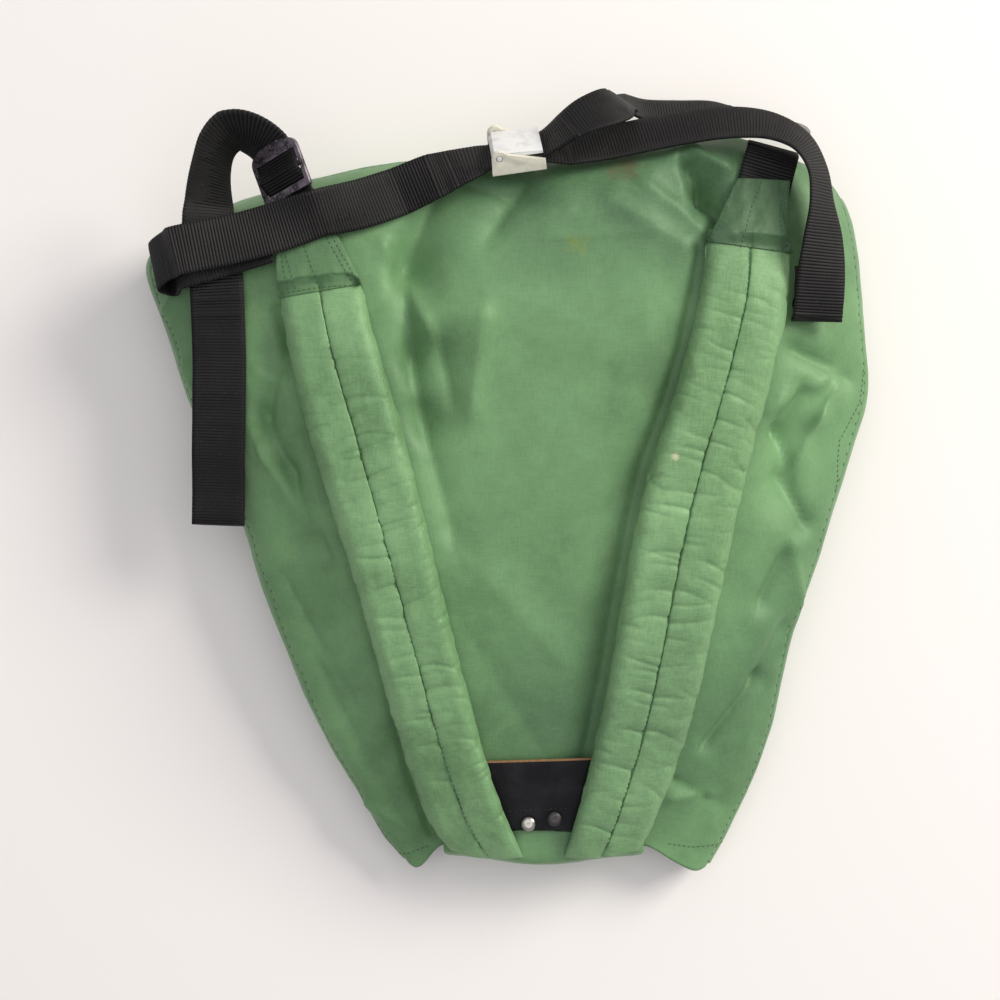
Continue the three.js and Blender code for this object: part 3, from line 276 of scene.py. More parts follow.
def crease_height(x, y, creases):
    """Height in millimetres that a table of creases adds at a place in millimetres."""
    total = 0.0
    for (x0, y0), (x1, y1), to_left, to_right, rise in creases:
        dx, dy = x1 - x0, y1 - y0
        length = math.hypot(dx, dy)
        along = ((x - x0) * dx + (y - y0) * dy) / length
        beyond = max(-along, along - length, 0.0)
        reach = to_left + to_right
        if beyond > reach:
            continue
        side = ((y - y0) * dx - (x - x0) * dy) / length
        share = abs(side) / (to_left if side > 0 else to_right)
        if share < 4.0:
            total += rise * math.exp(-((beyond / (0.6 * reach)) ** 2) - share ** 1.15)
    return total


def crumple_height(x, y, z, scale, stretch, crisp=0.0):
    """A crumple from about -1 to 1, drawn out along Y: soft hollows, or crisp crests with hollows between."""
    place = Vector((x / scale, y / (scale * stretch), z / scale))
    height = noise.fractal(place, 0.9, 2.1, 3, noise_basis="PERLIN_ORIGINAL")
    if crisp:
        crest = max(1 - 4.5 * abs(noise.noise(place + Vector((7.3, 3.1, 1.7)))), -1)
        height = (1 - crisp) * height + crisp * crest
    return height


def finish_piece(shape, name, material, nodes=(), thickness=None, smooth=True):
    """Makes the object of a piece, dresses it, and ties it to the model's only body."""
    data = bpy.data.meshes.new(name)
    shape.to_mesh(data)
    shape.free()
    if smooth:
        data.shade_smooth()
    piece = bpy.data.objects.new(name, data)
    bpy.context.scene.collection.objects.link(piece)
    data.materials.append(material)
    if thickness:
        wall = piece.modifiers.new("cloth thickness", "SOLIDIFY")
        wall.thickness = thickness
        wall.offset = -1
    if nodes:
        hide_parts(*nodes)
    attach(piece, "root")
    return piece


# The straps press a groove into the bag beside them. Their middle lines, in millimetres: X, Y and half width.
STRAPS = {
    "left": [
        (-107.6, 110.8, 24.8), (-102.3, 85.6, 25.3), (-94.3, 54.3, 26.5), (-85.9, 25.5, 26.9),
        (-76.6, -9.1, 26.0), (-67.0, -43.3, 24.5), (-56.6, -84.0, 23.9), (-46.4, -125.4, 23.9),
        (-34.9, -167.3, 23.4), (-24.1, -199.0, 22.6), (-15.4, -215.4, 21.5),
    ],
    "right": [
        (138.1, 135.6, 25.4), (135.2, 106.1, 26.4), (127.4, 71.9, 26.2), (117.9, 37.9, 26.8),
        (108.2, 3.5, 28.2), (100.4, -30.7, 28.8), (92.9, -71.2, 28.4), (85.8, -112.4, 27.6),
        (76.7, -153.8, 26.4), (65.0, -195.0, 23.8), (58.1, -215.0, 21.9),
    ],
}


def beside_line(x, y, line):
    """A place beside a line of points with half widths: how far along, its share across, and the line's run."""
    best = None
    start = 0.0
    for (x0, y0, w0), (x1, y1, w1) in zip(line, line[1:]):
        dx, dy = x1 - x0, y1 - y0
        length = math.hypot(dx, dy)
        t = ((x - x0) * dx + (y - y0) * dy) / (length * length)
        held = min(max(t, 0.0), 1.0)
        gap = math.hypot(x - x0 - dx * held, y - y0 - dy * held)
        if best is None or gap < best[0]:
            side = 1 if (x - x0) * dy - (y - y0) * dx < 0 else -1
            across = side * gap / (w0 + (w1 - w0) * held)
            best = (gap, start + length * held, across, (dx / length, dy / length))
        start += length
    return best[1:]


# The skin of the whole bag: the panels' outer faces, welded along the gaps that their seams bridge.
RIM_EDGE = 2.6 * MM
SEAM_GAP = 0.9 * MM
skin = bmesh.new()
for number, (node, outward) in enumerate(PANELS.items()):
    panel = merged_copy(node)
    outer_face(panel, outward, RIM_EDGE)
    for face in panel.faces:
        face.material_index = number
    cut = bpy.data.meshes.new(node + "_cut")
    panel.to_mesh(cut)
    panel.free()
    skin.from_mesh(cut)
bmesh.ops.remove_doubles(skin, verts=skin.verts, dist=SEAM_GAP)
quads(skin)
skin = refined(skin, 3, lambda edge: 0.4 if len({f.material_index for f in edge.link_faces}) > 1 else 0)

# The panels meet in a seam that draws the cloth in. What lies on the bag holds it down, the straps most of all:
# each presses a groove beside its left edge, and a broad hollow beyond it. Depths, and lengths along a strap,
# are in millimetres.
SEAM_DRAW = 0.8
SEAM_REACH = 1.6 * MM
GROOVE_DEPTH = 3.0
HOLLOW_DEPTH = {"left": 4.5, "right": 7.5}
HOLLOW_MIDDLE, HOLLOW_REACH = 235, 85
BROAD_CRUMPLE, FINE_CRUMPLE = 1.4, 0.3
COVER_REACH = 9 * MM
STRAP_RUN = (1, 325)
seams = [e for e in skin.edges if len({f.material_index for f in e.link_faces}) > 1]
sewn = KDTree(2 * len(seams))
for number, edge in enumerate(seams):
    sewn.insert(edge.verts[0].co, 2 * number)
    sewn.insert(edge.verts[1].co, 2 * number + 1)
sewn.balance()
laid_on = bmesh.new()
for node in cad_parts:
    if node.startswith(("belt", "strap", "shoulder", "adjuster", "buckle", "ladder", "leather")):
        laid_on.from_mesh(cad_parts[node].data)
covers = BVHTree.FromBMesh(laid_on)
laid_on.free()
moves = []
skin.normal_update()
for vert in skin.verts:
    x, y, z = (c / MM for c in vert.co)
    facing = max(0.0, min(1.0, (vert.normal.z - 0.1) / 0.5))
    low = max(0.0, min(1.0, (z - 2) / 14))
    middle, half = 12 + (150 - y) * 0.033, 88 - (150 - y) * 0.175
    outside = 1 - 0.75 * math.exp(-((x - middle) / half) ** 4) * facing
    lift = crease_height(x, y, BAG_CREASES) * facing
    lift += low * outside * BROAD_CRUMPLE * crumple_height(x, y, z, 52, 1.8, 0.3)
    lift += low * outside * FINE_CRUMPLE * crumple_height(x + 90, y, z, 19, 1.5, 0.4)
    for side, line in STRAPS.items():
        along, across, _ = beside_line(x, y, line)
        if STRAP_RUN[0] < along < STRAP_RUN[1] and across < -0.6:
            lift -= GROOVE_DEPTH * math.exp(-(((across + 1.1) / 0.13) ** 2)) * facing
            hollow = HOLLOW_DEPTH[side] * math.exp(-(((along - HOLLOW_MIDDLE) / HOLLOW_REACH) ** 2))
            lift -= hollow * math.exp(-(((across + 1.15) / 0.5) ** 2)) * facing
    lift -= SEAM_DRAW * math.exp(-(sewn.find(vert.co)[2] / SEAM_REACH) ** 2)
    cover = covers.find_nearest(vert.co, COVER_REACH)[3]
    if cover is not None and lift > 0:
        lift *= max(0.0, cover / MM - 1.2) / 8
    moves.append(vert.normal * lift * MM)
for vert, move in zip(skin.verts, moves):
    vert.co += move
    vert.co.z = max(vert.co.z, 0.2 * MM)
bag_surface = BVHTree.FromBMesh(skin)
bag_seams = [[v.co.copy() for v in e.verts] for e in seams]
for number, node in enumerate(PANELS):
    panel = skin.copy()
    bmesh.ops.delete(panel, geom=[f for f in panel.faces if f.material_index != number], context="FACES")
    for face in panel.faces:
        face.material_index = 0
    finish_piece(panel, "bag_" + node, bag_nylon, [node], thickness=CLOTH)
skin.free()

# The lid: one sheet of the same nylon, sewn along the mouth's upper edge and folded round it under the bag. The
# fold bulges out past the mouth between the straps' ends.
FOLD_START = -205
FOLD_BULGE, BULGE_MIDDLE, BULGE_REACH = 9.5, 19, 46
lid = merged_copy("lid")
quads(lid)
lid = refined(lid, 3)
lid.normal_update()
moves = [v.normal * MM * 0.5 * crumple_height(*(c / MM for c in v.co), 24, 1.2, 0.4) for v in lid.verts]
for vert, move in zip(lid.verts, moves):
    vert.co += move
    x, y, z = (c / MM for c in vert.co)
    if y < FOLD_START:
        bulge = math.exp(-(((x - BULGE_MIDDLE) / BULGE_REACH) ** 2)) * min(1.0, (FOLD_START - y) / 12)
        vert.co.y -= FOLD_BULGE * MM * bulge
    vert.co.z = max(vert.co.z, 0.1 * MM)
flap = finish_piece(lid, "lid_flap", bag_nylon, ["lid"])

# The shoulder straps: two ribs of foam in a nylon tube, quilted down the middle by one row of stitches that
# draws the cloth into a narrow channel, so that it puckers across both ribs. Each strap's weave is turned along
# it, and the right one has two pale spots.
SPOTS = (
    ((95.0, 16.5, 98), 3.2, 0.9, "#CFC7A8"),
    ((97.5, 20.5, 98), 2.0, 0.7, "#C4BC9C"),
)
strap_nylon = {
    "left": woven_nylon("green nylon, left strap", "#64885A", "#82A976", "#4A674A",
                        turn=29, grain_depth=0.09),
    "right": woven_nylon("green nylon, right strap", "#668A5B", "#85AC78", "#4A674A",
                         turn=-31, grain_depth=0.09, stains_and_painted_shade=SPOTS),
}
RIB_RISE, CHANNEL_DEPTH = 3.6, 2.4
RUN_IN, RUN_OUT = 9.0, 7.5


def puckers(seed, length):
    """Wrinkles across one half of a strap: place, lean, width, depth, reach, and whether from the outer edge."""
    chance = random.Random(seed)
    found = []
    at = 5.0
    while at < length - 3:
        from_edge = chance.random() < 0.35
        lean, width, depth = chance.uniform(-9, 9), chance.uniform(0.9, 2.6), chance.uniform(0.4, 1.9)
        reach = chance.uniform(0.3, 0.6 if from_edge else 1.0)
        found.append((at, lean, width, depth, reach, from_edge))
        at += chance.uniform(3.5, 10.0)
    return found


strap_surface = {}
for number, (side, line) in enumerate(STRAPS.items()):
    node = "shoulder_strap_" + side
    total = sum(math.dist(a[:2], b[:2]) for a, b in zip(line, line[1:]))
    strap = merged_copy(node)
    quads(strap)

    def at_an_end(edge):
        middle = (edge.verts[0].co + edge.verts[1].co) / 2 / MM
        along = beside_line(middle.x, middle.y, line)[0]
        at_end = along < 0.5 or along > total - 0.5
        return 0.8 if at_end and edge.calc_face_angle(0) > math.radians(45) else 0

    strap = refined(strap, 2, at_an_end)
    lengthwise = []
    for edge in strap.edges:
        a, b = (v.co / MM for v in edge.verts)
        run = beside_line((a.x + b.x) / 2, (a.y + b.y) / 2, line)[2]
        if (b - a).length > 1.3 and abs((b - a).normalized().dot(Vector((*run, 0)))) > 0.8:
            lengthwise.append(edge)
    bmesh.ops.subdivide_edges(strap, edges=lengthwise, cuts=1, use_grid_fill=True)
    strap = refined(strap, 1)
    strap.normal_update()
    halves = {s: puckers(10 * number + (3 if s > 0 else 4), total) for s in (-1, 1)}
    moves = []
    for vert in strap.verts:
        x, y, z = (c / MM for c in vert.co)
        along, across, run = beside_line(x, y, line)
        top = max(0.0, min(1.0, (vert.normal.z + 0.1) / 0.4))
        s = abs(across)
        ends = max(0.0, min(1.0, along / 12, (total - along) / 10))
        used = min(1.0, 0.3 + along / 130)
        lift = (RIB_RISE * math.exp(-((s / 0.2) ** 2)) - 0.9 * math.exp(-(((s - 0.5) / 0.22) ** 2))) * ends
        stitched = CHANNEL_DEPTH + 0.4 * math.sin(along * 0.93)
        lift -= stitched * math.exp(-((s / 0.04) ** 1.3)) * (0.35 + 0.65 * ends)
        for at, lean, width, depth, reach, from_edge in halves[1 if across > 0 else -1]:
            bend = at + lean * s * s
            if abs(along - bend) < 4 * width:
                span = math.exp(-((1 - s if from_edge else s) / reach) ** 2)
                lift -= depth * used * ends * span * math.exp(-abs(along - bend) / width)
        lift += 0.6 * used * crumple_height(x, y, z, 17, 1.0, 0.3)
        move = vert.normal * lift * top
        edge = max(0.0, 1 - abs(vert.normal.z) / 0.6)
        move += vert.normal * edge * 0.9 * crumple_height(x, y, z, 11, 1.0)
        run_out = max(0.0, along - (total - 28)) / 28
        move += Vector((run[0], run[1], 0)) * RUN_OUT * run_out - Vector((0, 0, 1.5)) * run_out
        run_in = max(0.0, 1 - along / 14)
        move -= Vector((run[0], run[1], 0)) * RUN_IN * run_in + Vector((0, 0, 4.4)) * top * run_in
        moves.append(move * MM)
    for vert, move in zip(strap.verts, moves):
        vert.co += move
    strap_surface[side] = BVHTree.FromBMesh(strap)
    piece = finish_piece(strap, "padded_strap_" + side, strap_nylon[side], [node])

# The straps' tabs: the same nylon, folded flat over the webbing and sewn down all round. Their colours are
# darkened as painted shade, the right tab's more than the left's. The lower hem lies on the strap's end. Each
# hem is given by its two ends in millimetres.
HEM_REACH = 12
TAB_HEMS = {"left": ((-126.5, 108.4), (-84.0, 112.4)), "right": ((111.0, 134.0), (163.0, 132.6))}
tab_nylon_painted_shade = {
    # Both tabs' colours are darkened as painted shade, the right tab's more than the left's.
    "left": woven_nylon("green nylon, left tab, painted shade", "#486646", "#5F8257", "#375139",
                        turn=15, grain_depth=0.08),
    "right": woven_nylon("green nylon, right tab, painted shade", "#3A563A", "#507049", "#2D4630",
                         turn=-10, grain_depth=0.08),
}
tab_surface = {}
for side, ((x0, y0), (x1, y1)) in TAB_HEMS.items():
    node = "strap_tab_" + side
    tab = merged_copy(node)
    quads(tab)
    tab = refined(tab, 3, lambda edge: 0.75 if edge.calc_face_angle(0) > math.radians(50) else 0)
    tab.normal_update()
    places = []
    for vert in tab.verts:
        x, y, z = (c / MM for c in vert.co)
        above = ((x1 - x0) * (y - y0) - (y1 - y0) * (x - x0)) / math.hypot(x1 - x0, y1 - y0)
        z += 0.5 * crumple_height(x, y, z, 9, 1.4, 0.4)
        z -= 0.9 * abs(math.sin(x * 0.55 + 2.2 * math.sin(x * 0.23))) * math.exp(-((above - 5) / 5) ** 2)
        hit = strap_surface[side].ray_cast(vert.co + Vector((0, 0, 0.2)), Vector((0, 0, -1)))[0]
        if hit is not None and above < HEM_REACH:
            rest = hit.z / MM + (0.9 if vert.normal.z > 0 else -0.7)
            ease = max(0.0, min(1.0, (HEM_REACH - above) / 9))
            z += (rest - z) * ease * ease * (3 - 2 * ease)
        places.append(Vector((x, y, z)) * MM)
    for vert, place in zip(tab.verts, places):
        vert.co = place
    tab_surface[side] = BVHTree.FromBMesh(tab)
    finish_piece(tab, "tab_" + side, tab_nylon_painted_shade[side], [node])

# The webbing: black polyamide, woven as ribs across the band, so that it catches the light in fine bars. The
# ribs' crowns are painted a lighter grey, partly real wear and partly a painted highlight, and the ribs hold a
# little lint.
RIB = 1.8 * MM
RIB_RELIEF = 0.25 * MM
END_SPACING = 1.0 * MM
webbing_cloth, tree, shader, place = new_material("black ribbed webbing")
run = add_node(tree, "ShaderNodeUVMap", uv_map="run")
ribs = add_node(tree, "ShaderNodeTexWave", {"Vector": run, "Scale": 2 * math.pi / (20 * RIB / MM),
                "Phase Offset": math.pi / 2}, out="Fac", bands_direction="Y")
ends = add_node(tree, "ShaderNodeTexWave",
                {"Vector": run, "Scale": 2 * math.pi / (20 * END_SPACING / MM), "Distortion": 0.3},
                out="Fac", bands_direction="X")
worn = add_node(tree, "ShaderNodeTexNoise", {"Vector": place, "Scale": 24.0, "Detail": 4.0})
lint = add_node(tree, "ShaderNodeTexNoise", {"Vector": place, "Scale": 700.0, "Detail": 2.0})
share = add_node(tree, "ShaderNodeMapRange", {0: worn, 1: 0.38, 2: 0.66, 3: 0.5})
# Every rib's crown is painted lighter: partly real grey wear, partly a painted highlight where the ribs catch
# the light.
crown_wear_and_highlight = add_node(tree, "ShaderNodeMath", {0: ribs, 1: share}, operation="MULTIPLY")
share = add_node(tree, "ShaderNodeMapRange", {0: ends, 3: 0.55, 4: 1.0})
crown_wear_and_highlight = add_node(tree, "ShaderNodeMath", {0: crown_wear_and_highlight, 1: share}, operation="MULTIPLY")
colour = add_node(tree, "ShaderNodeMix", {0: crown_wear_and_highlight, 6: "#060607", 7: "#3B3936"}, out=2, data_type="RGBA")
share = add_node(tree, "ShaderNodeMapRange", {0: lint, 1: 0.64, 2: 0.8, 4: 0.3})
colour = add_node(tree, "ShaderNodeMix", {0: share, 6: colour, 7: "#57534D"}, out=2, data_type="RGBA")
tree.links.new(colour, shader.inputs["Base Color"])
weave = add_node(tree, "ShaderNodeBump", {"Height": ends, "Strength": 0.5, "Distance": 0.15 * MM})
tree.links.new(weave, shader.inputs["Normal"])
shader.inputs["Roughness"].default_value = 0.62
shader.inputs["Specular IOR Level"].default_value = 0.22


def band_rings(node):
    """The sections of a CAD band in order: centre, direction across and direction through, and its width."""
    copy = merged_copy(node)
    hub = next(v for v in copy.verts if len(v.link_edges) == 4)
    seen = {hub}
    ring = [e.other_vert(hub) for e in hub.link_edges]
    rings = []
    while len(ring) == 4:
        seen.update(ring)
        first = ring[0]
        partner = min(ring[1:], key=lambda v: (v.co - first.co).length)
        others = [v for v in ring[1:] if v is not partner]
        across = (first.co + partner.co - others[0].co - others[1].co) / 2
        closer = min(others, key=lambda v: (v.co - first.co).length)
        through = first.co - partner.co + closer.co - [v for v in others if v is not closer][0].co
        through.normalize()
        if rings:
            if across.dot(rings[-1][1]) < 0:
                across.negate()
            if through.dot(rings[-1][2]) < 0:
                through.negate()
        rings.append((sum((v.co for v in ring), Vector()) / 4, across, through))
        ring = list({e.other_vert(v) for v in ring for e in v.link_edges} - seen)
    copy.free()
    width = sum(r[1].length for r in rings) / len(rings)
    return [(c, a.normalized(), t) for c, a, t in rings], width


def webbing(name, node, ribs_per_step=4, thickness=1.5 * MM, eased=0):
    """A band woven anew along a CAD band's sections, its ribs as shape, its sharpest twist eased some times."""
    rings, width = band_rings(node)
    if eased:
        twist = max(range(1, len(rings)), key=lambda i: rings[i][1].angle(rings[i - 1][1]))
        for _ in range(eased):
            before = list(rings)
            for i in range(max(twist - 4, 1), min(twist + 6, len(rings) - 1)):
                c, a, t = [(before[i - 1][k] + 2 * before[i][k] + before[i + 1][k]) / 4 for k in range(3)]
                rings[i] = (c, a.normalized(), t.normalized())
    lengths = [0.0]
    for a, b in zip(rings, rings[1:]):
        lengths.append(lengths[-1] + (b[0] - a[0]).length)
    total = lengths[-1]
    rows = max(8, int(total / (RIB / ribs_per_step)))
    columns = 12
    band = bmesh.new()
    bmesh.ops.create_grid(band, x_segments=columns, y_segments=rows, size=0.5)
    layer = band.loops.layers.uv.new("run")
    spots = {}
    for vert in band.verts:
        across, along = vert.co.x * 2, (vert.co.y + 0.5) * total
        spots[vert] = (across, along)
        i = min(max(bisect.bisect_right(lengths, along) - 1, 0), len(lengths) - 2)
        t = (along - lengths[i]) / max(lengths[i + 1] - lengths[i], 1e-9)
        before, after = rings[max(i - 1, 0)], rings[min(i + 2, len(rings) - 1)]
        a, b = rings[i], rings[i + 1]
        m0, m1 = (b[0] - before[0]) / 2, (after[0] - a[0]) / 2
        centre = ((2 * t - 3) * t * t + 1) * a[0] + (((t - 2) * t + 1) * t) * m0
        centre += ((3 - 2 * t) * t * t) * b[0] + ((t - 1) * t * t) * m1
        wide = a[1].lerp(b[1], t).normalized()
        through = a[2].lerp(b[2], t).normalized()
        rib = RIB_RELIEF * math.cos(2 * math.pi * along / RIB)
        ragged = 1 + 0.006 * math.cos(2 * math.pi * along / RIB)
        vert.co = centre + wide * (across * width / 2 * ragged) + through * (rib if abs(across) < 0.95 else 0)
    for face in band.faces:
        for loop in face.loops:
            across, along = spots[loop.vert]
            loop[layer].uv = (across * width / 2 / MM, along / MM)
    bmesh.ops.recalc_face_normals(band, faces=band.faces)
    surface = BVHTree.FromBMesh(band)
    piece = finish_piece(band, name, webbing_cloth, [node], thickness=thickness)
    piece.modifiers["cloth thickness"].offset = 0
    return surface


webbing("webbing_adjuster_left", "adjuster_left", eased=6)
loop_surface = webbing("webbing_loop_right", "strap_loop_right")
webbing("webbing_belt_left", "belt_left")
webbing("webbing_belt_right", "belt_right")
webbing("webbing_belt_tail", "belt_tail")

# The ladder locks: frames of stamped steel that the webbing is woven through. Their dark lacquer has worn to
# patches of lighter bare metal, so they glint unevenly.
lock_metal, tree, shader, place = new_material("worn lacquered steel")
patches = add_node(tree, "ShaderNodeTexNoise", {"Vector": place, "Scale": 120.0, "Detail": 6.0})
scuffs = add_node(tree, "ShaderNodeTexNoise", {"Vector": place, "Scale": 650.0, "Detail": 3.0})
bare = add_node(tree, "ShaderNodeMapRange", {0: patches, 1: 0.42, 2: 0.6})
colour = add_node(tree, "ShaderNodeMix", {0: bare, 6: "#312C30", 7: "#857C82"}, out=2, data_type="RGBA")
share = add_node(tree, "ShaderNodeMapRange", {0: scuffs, 1: 0.58, 2: 0.72, 4: 0.6})
colour = add_node(tree, "ShaderNodeMix", {0: share, 6: colour, 7: "#B3ABAA"}, out=2, data_type="RGBA")
tree.links.new(colour, shader.inputs["Base Color"])
tree.links.new(add_node(tree, "ShaderNodeMapRange", {0: bare, 3: 0.35}), shader.inputs["Metallic"])
rough = add_node(tree, "ShaderNodeMapRange", {0: scuffs, 1: 0.3, 2: 0.7, 3: 0.26, 4: 0.48})
tree.links.new(rough, shader.inputs["Roughness"])
dents = add_node(tree, "ShaderNodeBump", {"Height": patches, "Strength": 0.3, "Distance": 0.3 * MM})
tree.links.new(dents, shader.inputs["Normal"])


def rounded_copy(node, radius, segments=3, angle=35):
    """A CAD node with its flat faces made whole and its edges rounded."""
    copy = merged_copy(node)
    bmesh.ops.dissolve_limit(copy, angle_limit=math.radians(3), verts=copy.verts, edges=copy.edges)
    sharp = [e for e in copy.edges if len(e.link_faces) == 2 and e.calc_face_angle(0) > math.radians(angle)]
    bmesh.ops.bevel(copy, geom=sharp, offset=radius, offset_type="OFFSET", segments=segments, profile=0.5,
                    affect="EDGES", material=-1, clamp_overlap=True)
    return copy


def smooth_by_angle(piece, degrees):
    """Shades a hard piece smooth, except across its edges."""
    piece.data.set_sharp_from_angle(angle=math.radians(degrees))


for side in STRAPS:
    lock = rounded_copy("ladder_lock_" + side, 0.55 * MM)
    smooth_by_angle(finish_piece(lock, "lock_" + side, lock_metal, ["ladder_lock_" + side]), 40)

# The cam buckle: two mouldings in off-white acetal, a bright lever over a creamier frame. The plastic is smooth
# and slightly waxy, with grime in patches.
for node, clean, grimy in (("buckle_frame", "#D9D6C2", "#A39F8C"), ("buckle_lever", "#DDDDD9", "#A6A6A2")):
    acetal, tree, shader, place = new_material("moulded acetal, " + node.removeprefix("buckle_"))
    dirt = add_node(tree, "ShaderNodeTexNoise", {"Vector": place, "Scale": 160.0, "Detail": 5.0})
    grime = add_node(tree, "ShaderNodeMapRange", {0: dirt, 1: 0.48, 2: 0.76, 4: 0.5})
    colour = add_node(tree, "ShaderNodeMix", {0: grime, 6: clean, 7: grimy}, out=2, data_type="RGBA")
    tree.links.new(colour, shader.inputs["Base Color"])
    rough = add_node(tree, "ShaderNodeMapRange", {0: dirt, 1: 0.3, 2: 0.7, 3: 0.34, 4: 0.5})
    tree.links.new(rough, shader.inputs["Roughness"])
    shader.inputs["Subsurface Weight"].default_value = 0.08
    shader.inputs["Subsurface Scale"].default_value = 1.5 * MM
    moulding = rounded_copy(node, 0.45 * MM)
    smooth_by_angle(finish_piece(moulding, "acetal_" + node, acetal, [node]), 40)

# The patch: vegetable-tanned leather, sewn and riveted on at the straps' roots. Its face is dyed black, with a
# low shine and fine pores, and its matt tan core is bare along the cut top edge.
CUT_EDGE = 1.5 * MM
EDGE_COLUMN = 3 * MM
patch_leather, tree, shader, place = new_material("black dyed leather")
pore = add_node(tree, "ShaderNodeTexVoronoi", {"Vector": place, "Scale": 900.0}, feature="SMOOTH_F1")
rubbed = add_node(tree, "ShaderNodeTexNoise", {"Vector": place, "Scale": 60.0, "Detail": 4.0})
share = add_node(tree, "ShaderNodeMapRange", {0: rubbed, 1: 0.45, 2: 0.7})
colour = add_node(tree, "ShaderNodeMix", {0: share, 6: "#08080A", 7: "#1C1A1D"}, out=2, data_type="RGBA")
tree.links.new(colour, shader.inputs["Base Color"])
pores = add_node(tree, "ShaderNodeBump", {"Height": pore, "Strength": 0.4, "Distance": 0.2 * MM})
tree.links.new(pores, shader.inputs["Normal"])
shader.inputs["Roughness"].default_value = 0.5
shader.inputs["Specular IOR Level"].default_value = 0.28
raw_leather, tree, shader, place = new_material("tan leather, cut edge")
fibre = add_node(tree, "ShaderNodeTexNoise", {"Vector": place, "Scale": 500.0, "Detail": 3.0})
colour = add_node(tree, "ShaderNodeMix", {0: fibre, 6: "#6B4A2C", 7: "#A07C50"}, out=2, data_type="RGBA")
tree.links.new(colour, shader.inputs["Base Color"])
shader.inputs["Roughness"].default_value = 0.85
patch = merged_copy("leather_patch")
quads(patch)
patch = refined(patch, 3, lambda edge: 0.8 if edge.calc_face_angle(0) > math.radians(50) else 0)
patch_surface = BVHTree.FromBMesh(patch)
top_edge = {}
for vert in patch.verts:
    column = round(vert.co.x / EDGE_COLUMN)
    top_edge[column] = max(top_edge.get(column, -1), vert.co.y)
for face in patch.faces:
    place = face.calc_center_median()
    if place.y > top_edge.get(round(place.x / EDGE_COLUMN), 1) - CUT_EDGE:
        face.material_index = 1
patch_piece = finish_piece(patch, "leather_root_patch", patch_leather, ["leather_patch"])
patch_piece.data.materials.append(raw_leather)

# The rivets: tubular caps of nickelled brass, pressed through the patch, each with a dimple in its crown. One is
# a bright, shiny nickel and the other is coloured dark grey.
for node, bright in (("rivet_left", True), ("rivet_right", False)):
    cap_metal, tree, shader, place = new_material("nickel rivet, " + ("bright" if bright else "dark-coloured"))
    wear = add_node(tree, "ShaderNodeTexNoise", {"Vector": place, "Scale": 400.0, "Detail": 4.0})
    tones = {6: "#CFCBC2", 7: "#8F8A80"} if bright else {6: "#5A5655", 7: "#312F30"}
    colour = add_node(tree, "ShaderNodeMix", {0: wear, **tones}, out=2, data_type="RGBA")
    tree.links.new(colour, shader.inputs["Base Color"])
    shader.inputs["Metallic"].default_value = 1.0 if bright else 0.7
    shader.inputs["Roughness"].default_value = 0.26 if bright else 0.45
    low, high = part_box(node)
    cap = bmesh.new()
    bmesh.ops.create_uvsphere(cap, u_segments=40, v_segments=24, radius=1.0)
    bmesh.ops.bisect_plane(cap, geom=cap.verts[:] + cap.edges[:] + cap.faces[:], plane_co=(0, 0, -0.02),
                           plane_no=(0, 0, -1), clear_outer=True)
    bmesh.ops.holes_fill(cap, edges=cap.edges[:], sides=0)
    for vert in cap.verts:
        ring = math.hypot(vert.co.x, vert.co.y)
        vert.co.z -= 0.22 * math.exp(-((ring / 0.42) ** 2))
    size = (high - low) / 2
    bmesh.ops.scale(cap, vec=(size.x, size.y, (high.z - low.z) * 0.95), verts=cap.verts)
    bmesh.ops.translate(cap, vec=((low.x + high.x) / 2, (low.y + high.y) / 2, low.z), verts=cap.verts)
    finish_piece(cap, "cap_" + node, cap_metal, [node])

# The stitching: lockstitch in matt polyester thread, each stitch a small rounded bead that bites into the
# cloth. Most is green like the nylon, the patch's is black, and the right loop's has gone rusty.
THREAD_COLOURS = {
    "green": ("#2C4A30", "#4A6E4A"),
    "black": ("#0A0A0B", "#201F20"),
    "rusty": ("#4A3124", "#7A6250"),
}
threads = {}
for tint, (dark, light) in THREAD_COLOURS.items():
    threads[tint], tree, shader, place = new_material(tint + " polyester thread")
    twist = add_node(tree, "ShaderNodeTexNoise", {"Vector": place, "Scale": 1500.0})
    colour = add_node(tree, "ShaderNodeMix", {0: twist, 6: dark, 7: light}, out=2, data_type="RGBA")
    tree.links.new(colour, shader.inputs["Base Color"])
    shader.inputs["Roughness"].default_value = 0.65


def stitch_row(name, surface, paths, thread="green", pitch=3.0, length=2.2, width=0.6):
    """Stitches along lines of points: places on a map in millimetres, dropped from above onto a surface."""
    rows = bmesh.new()
    for path in paths:
        spare = 0.0
        for (x0, y0), (x1, y1) in zip(path, path[1:]):
            span = math.hypot(x1 - x0, y1 - y0)
            at = spare
            while at < span:
                x, y = x0 + (x1 - x0) * at / span, y0 + (y1 - y0) * at / span
                place, normal, _, _ = surface.ray_cast(Vector((x * MM, y * MM, 0.3)), Vector((0, 0, -1)))
                at += pitch
                if place is not None:
                    lay_stitch(rows, place, normal, Vector((x1 - x0, y1 - y0, 0)), length, width)
            spare = at - span
    return finish_piece(rows, name, threads[thread])


def lay_stitch(rows, place, normal, forward, length, width):
    """One stitch on a surface, along a direction."""
    forward = forward.normalized()
    forward = (forward - normal * forward.dot(normal)).normalized()
    turn = Matrix((forward, normal.cross(forward), normal)).transposed().to_4x4()
    size = Matrix.Diagonal((length / 2 * MM, width / 2 * MM, width / 2 * MM, 1))
    bead = bmesh.ops.create_uvsphere(rows, u_segments=6, v_segments=5, radius=1.0)
    bmesh.ops.transform(rows, matrix=Matrix.Translation(place + normal * 0.08 * MM) @ turn @ size,
                        verts=bead["verts"])


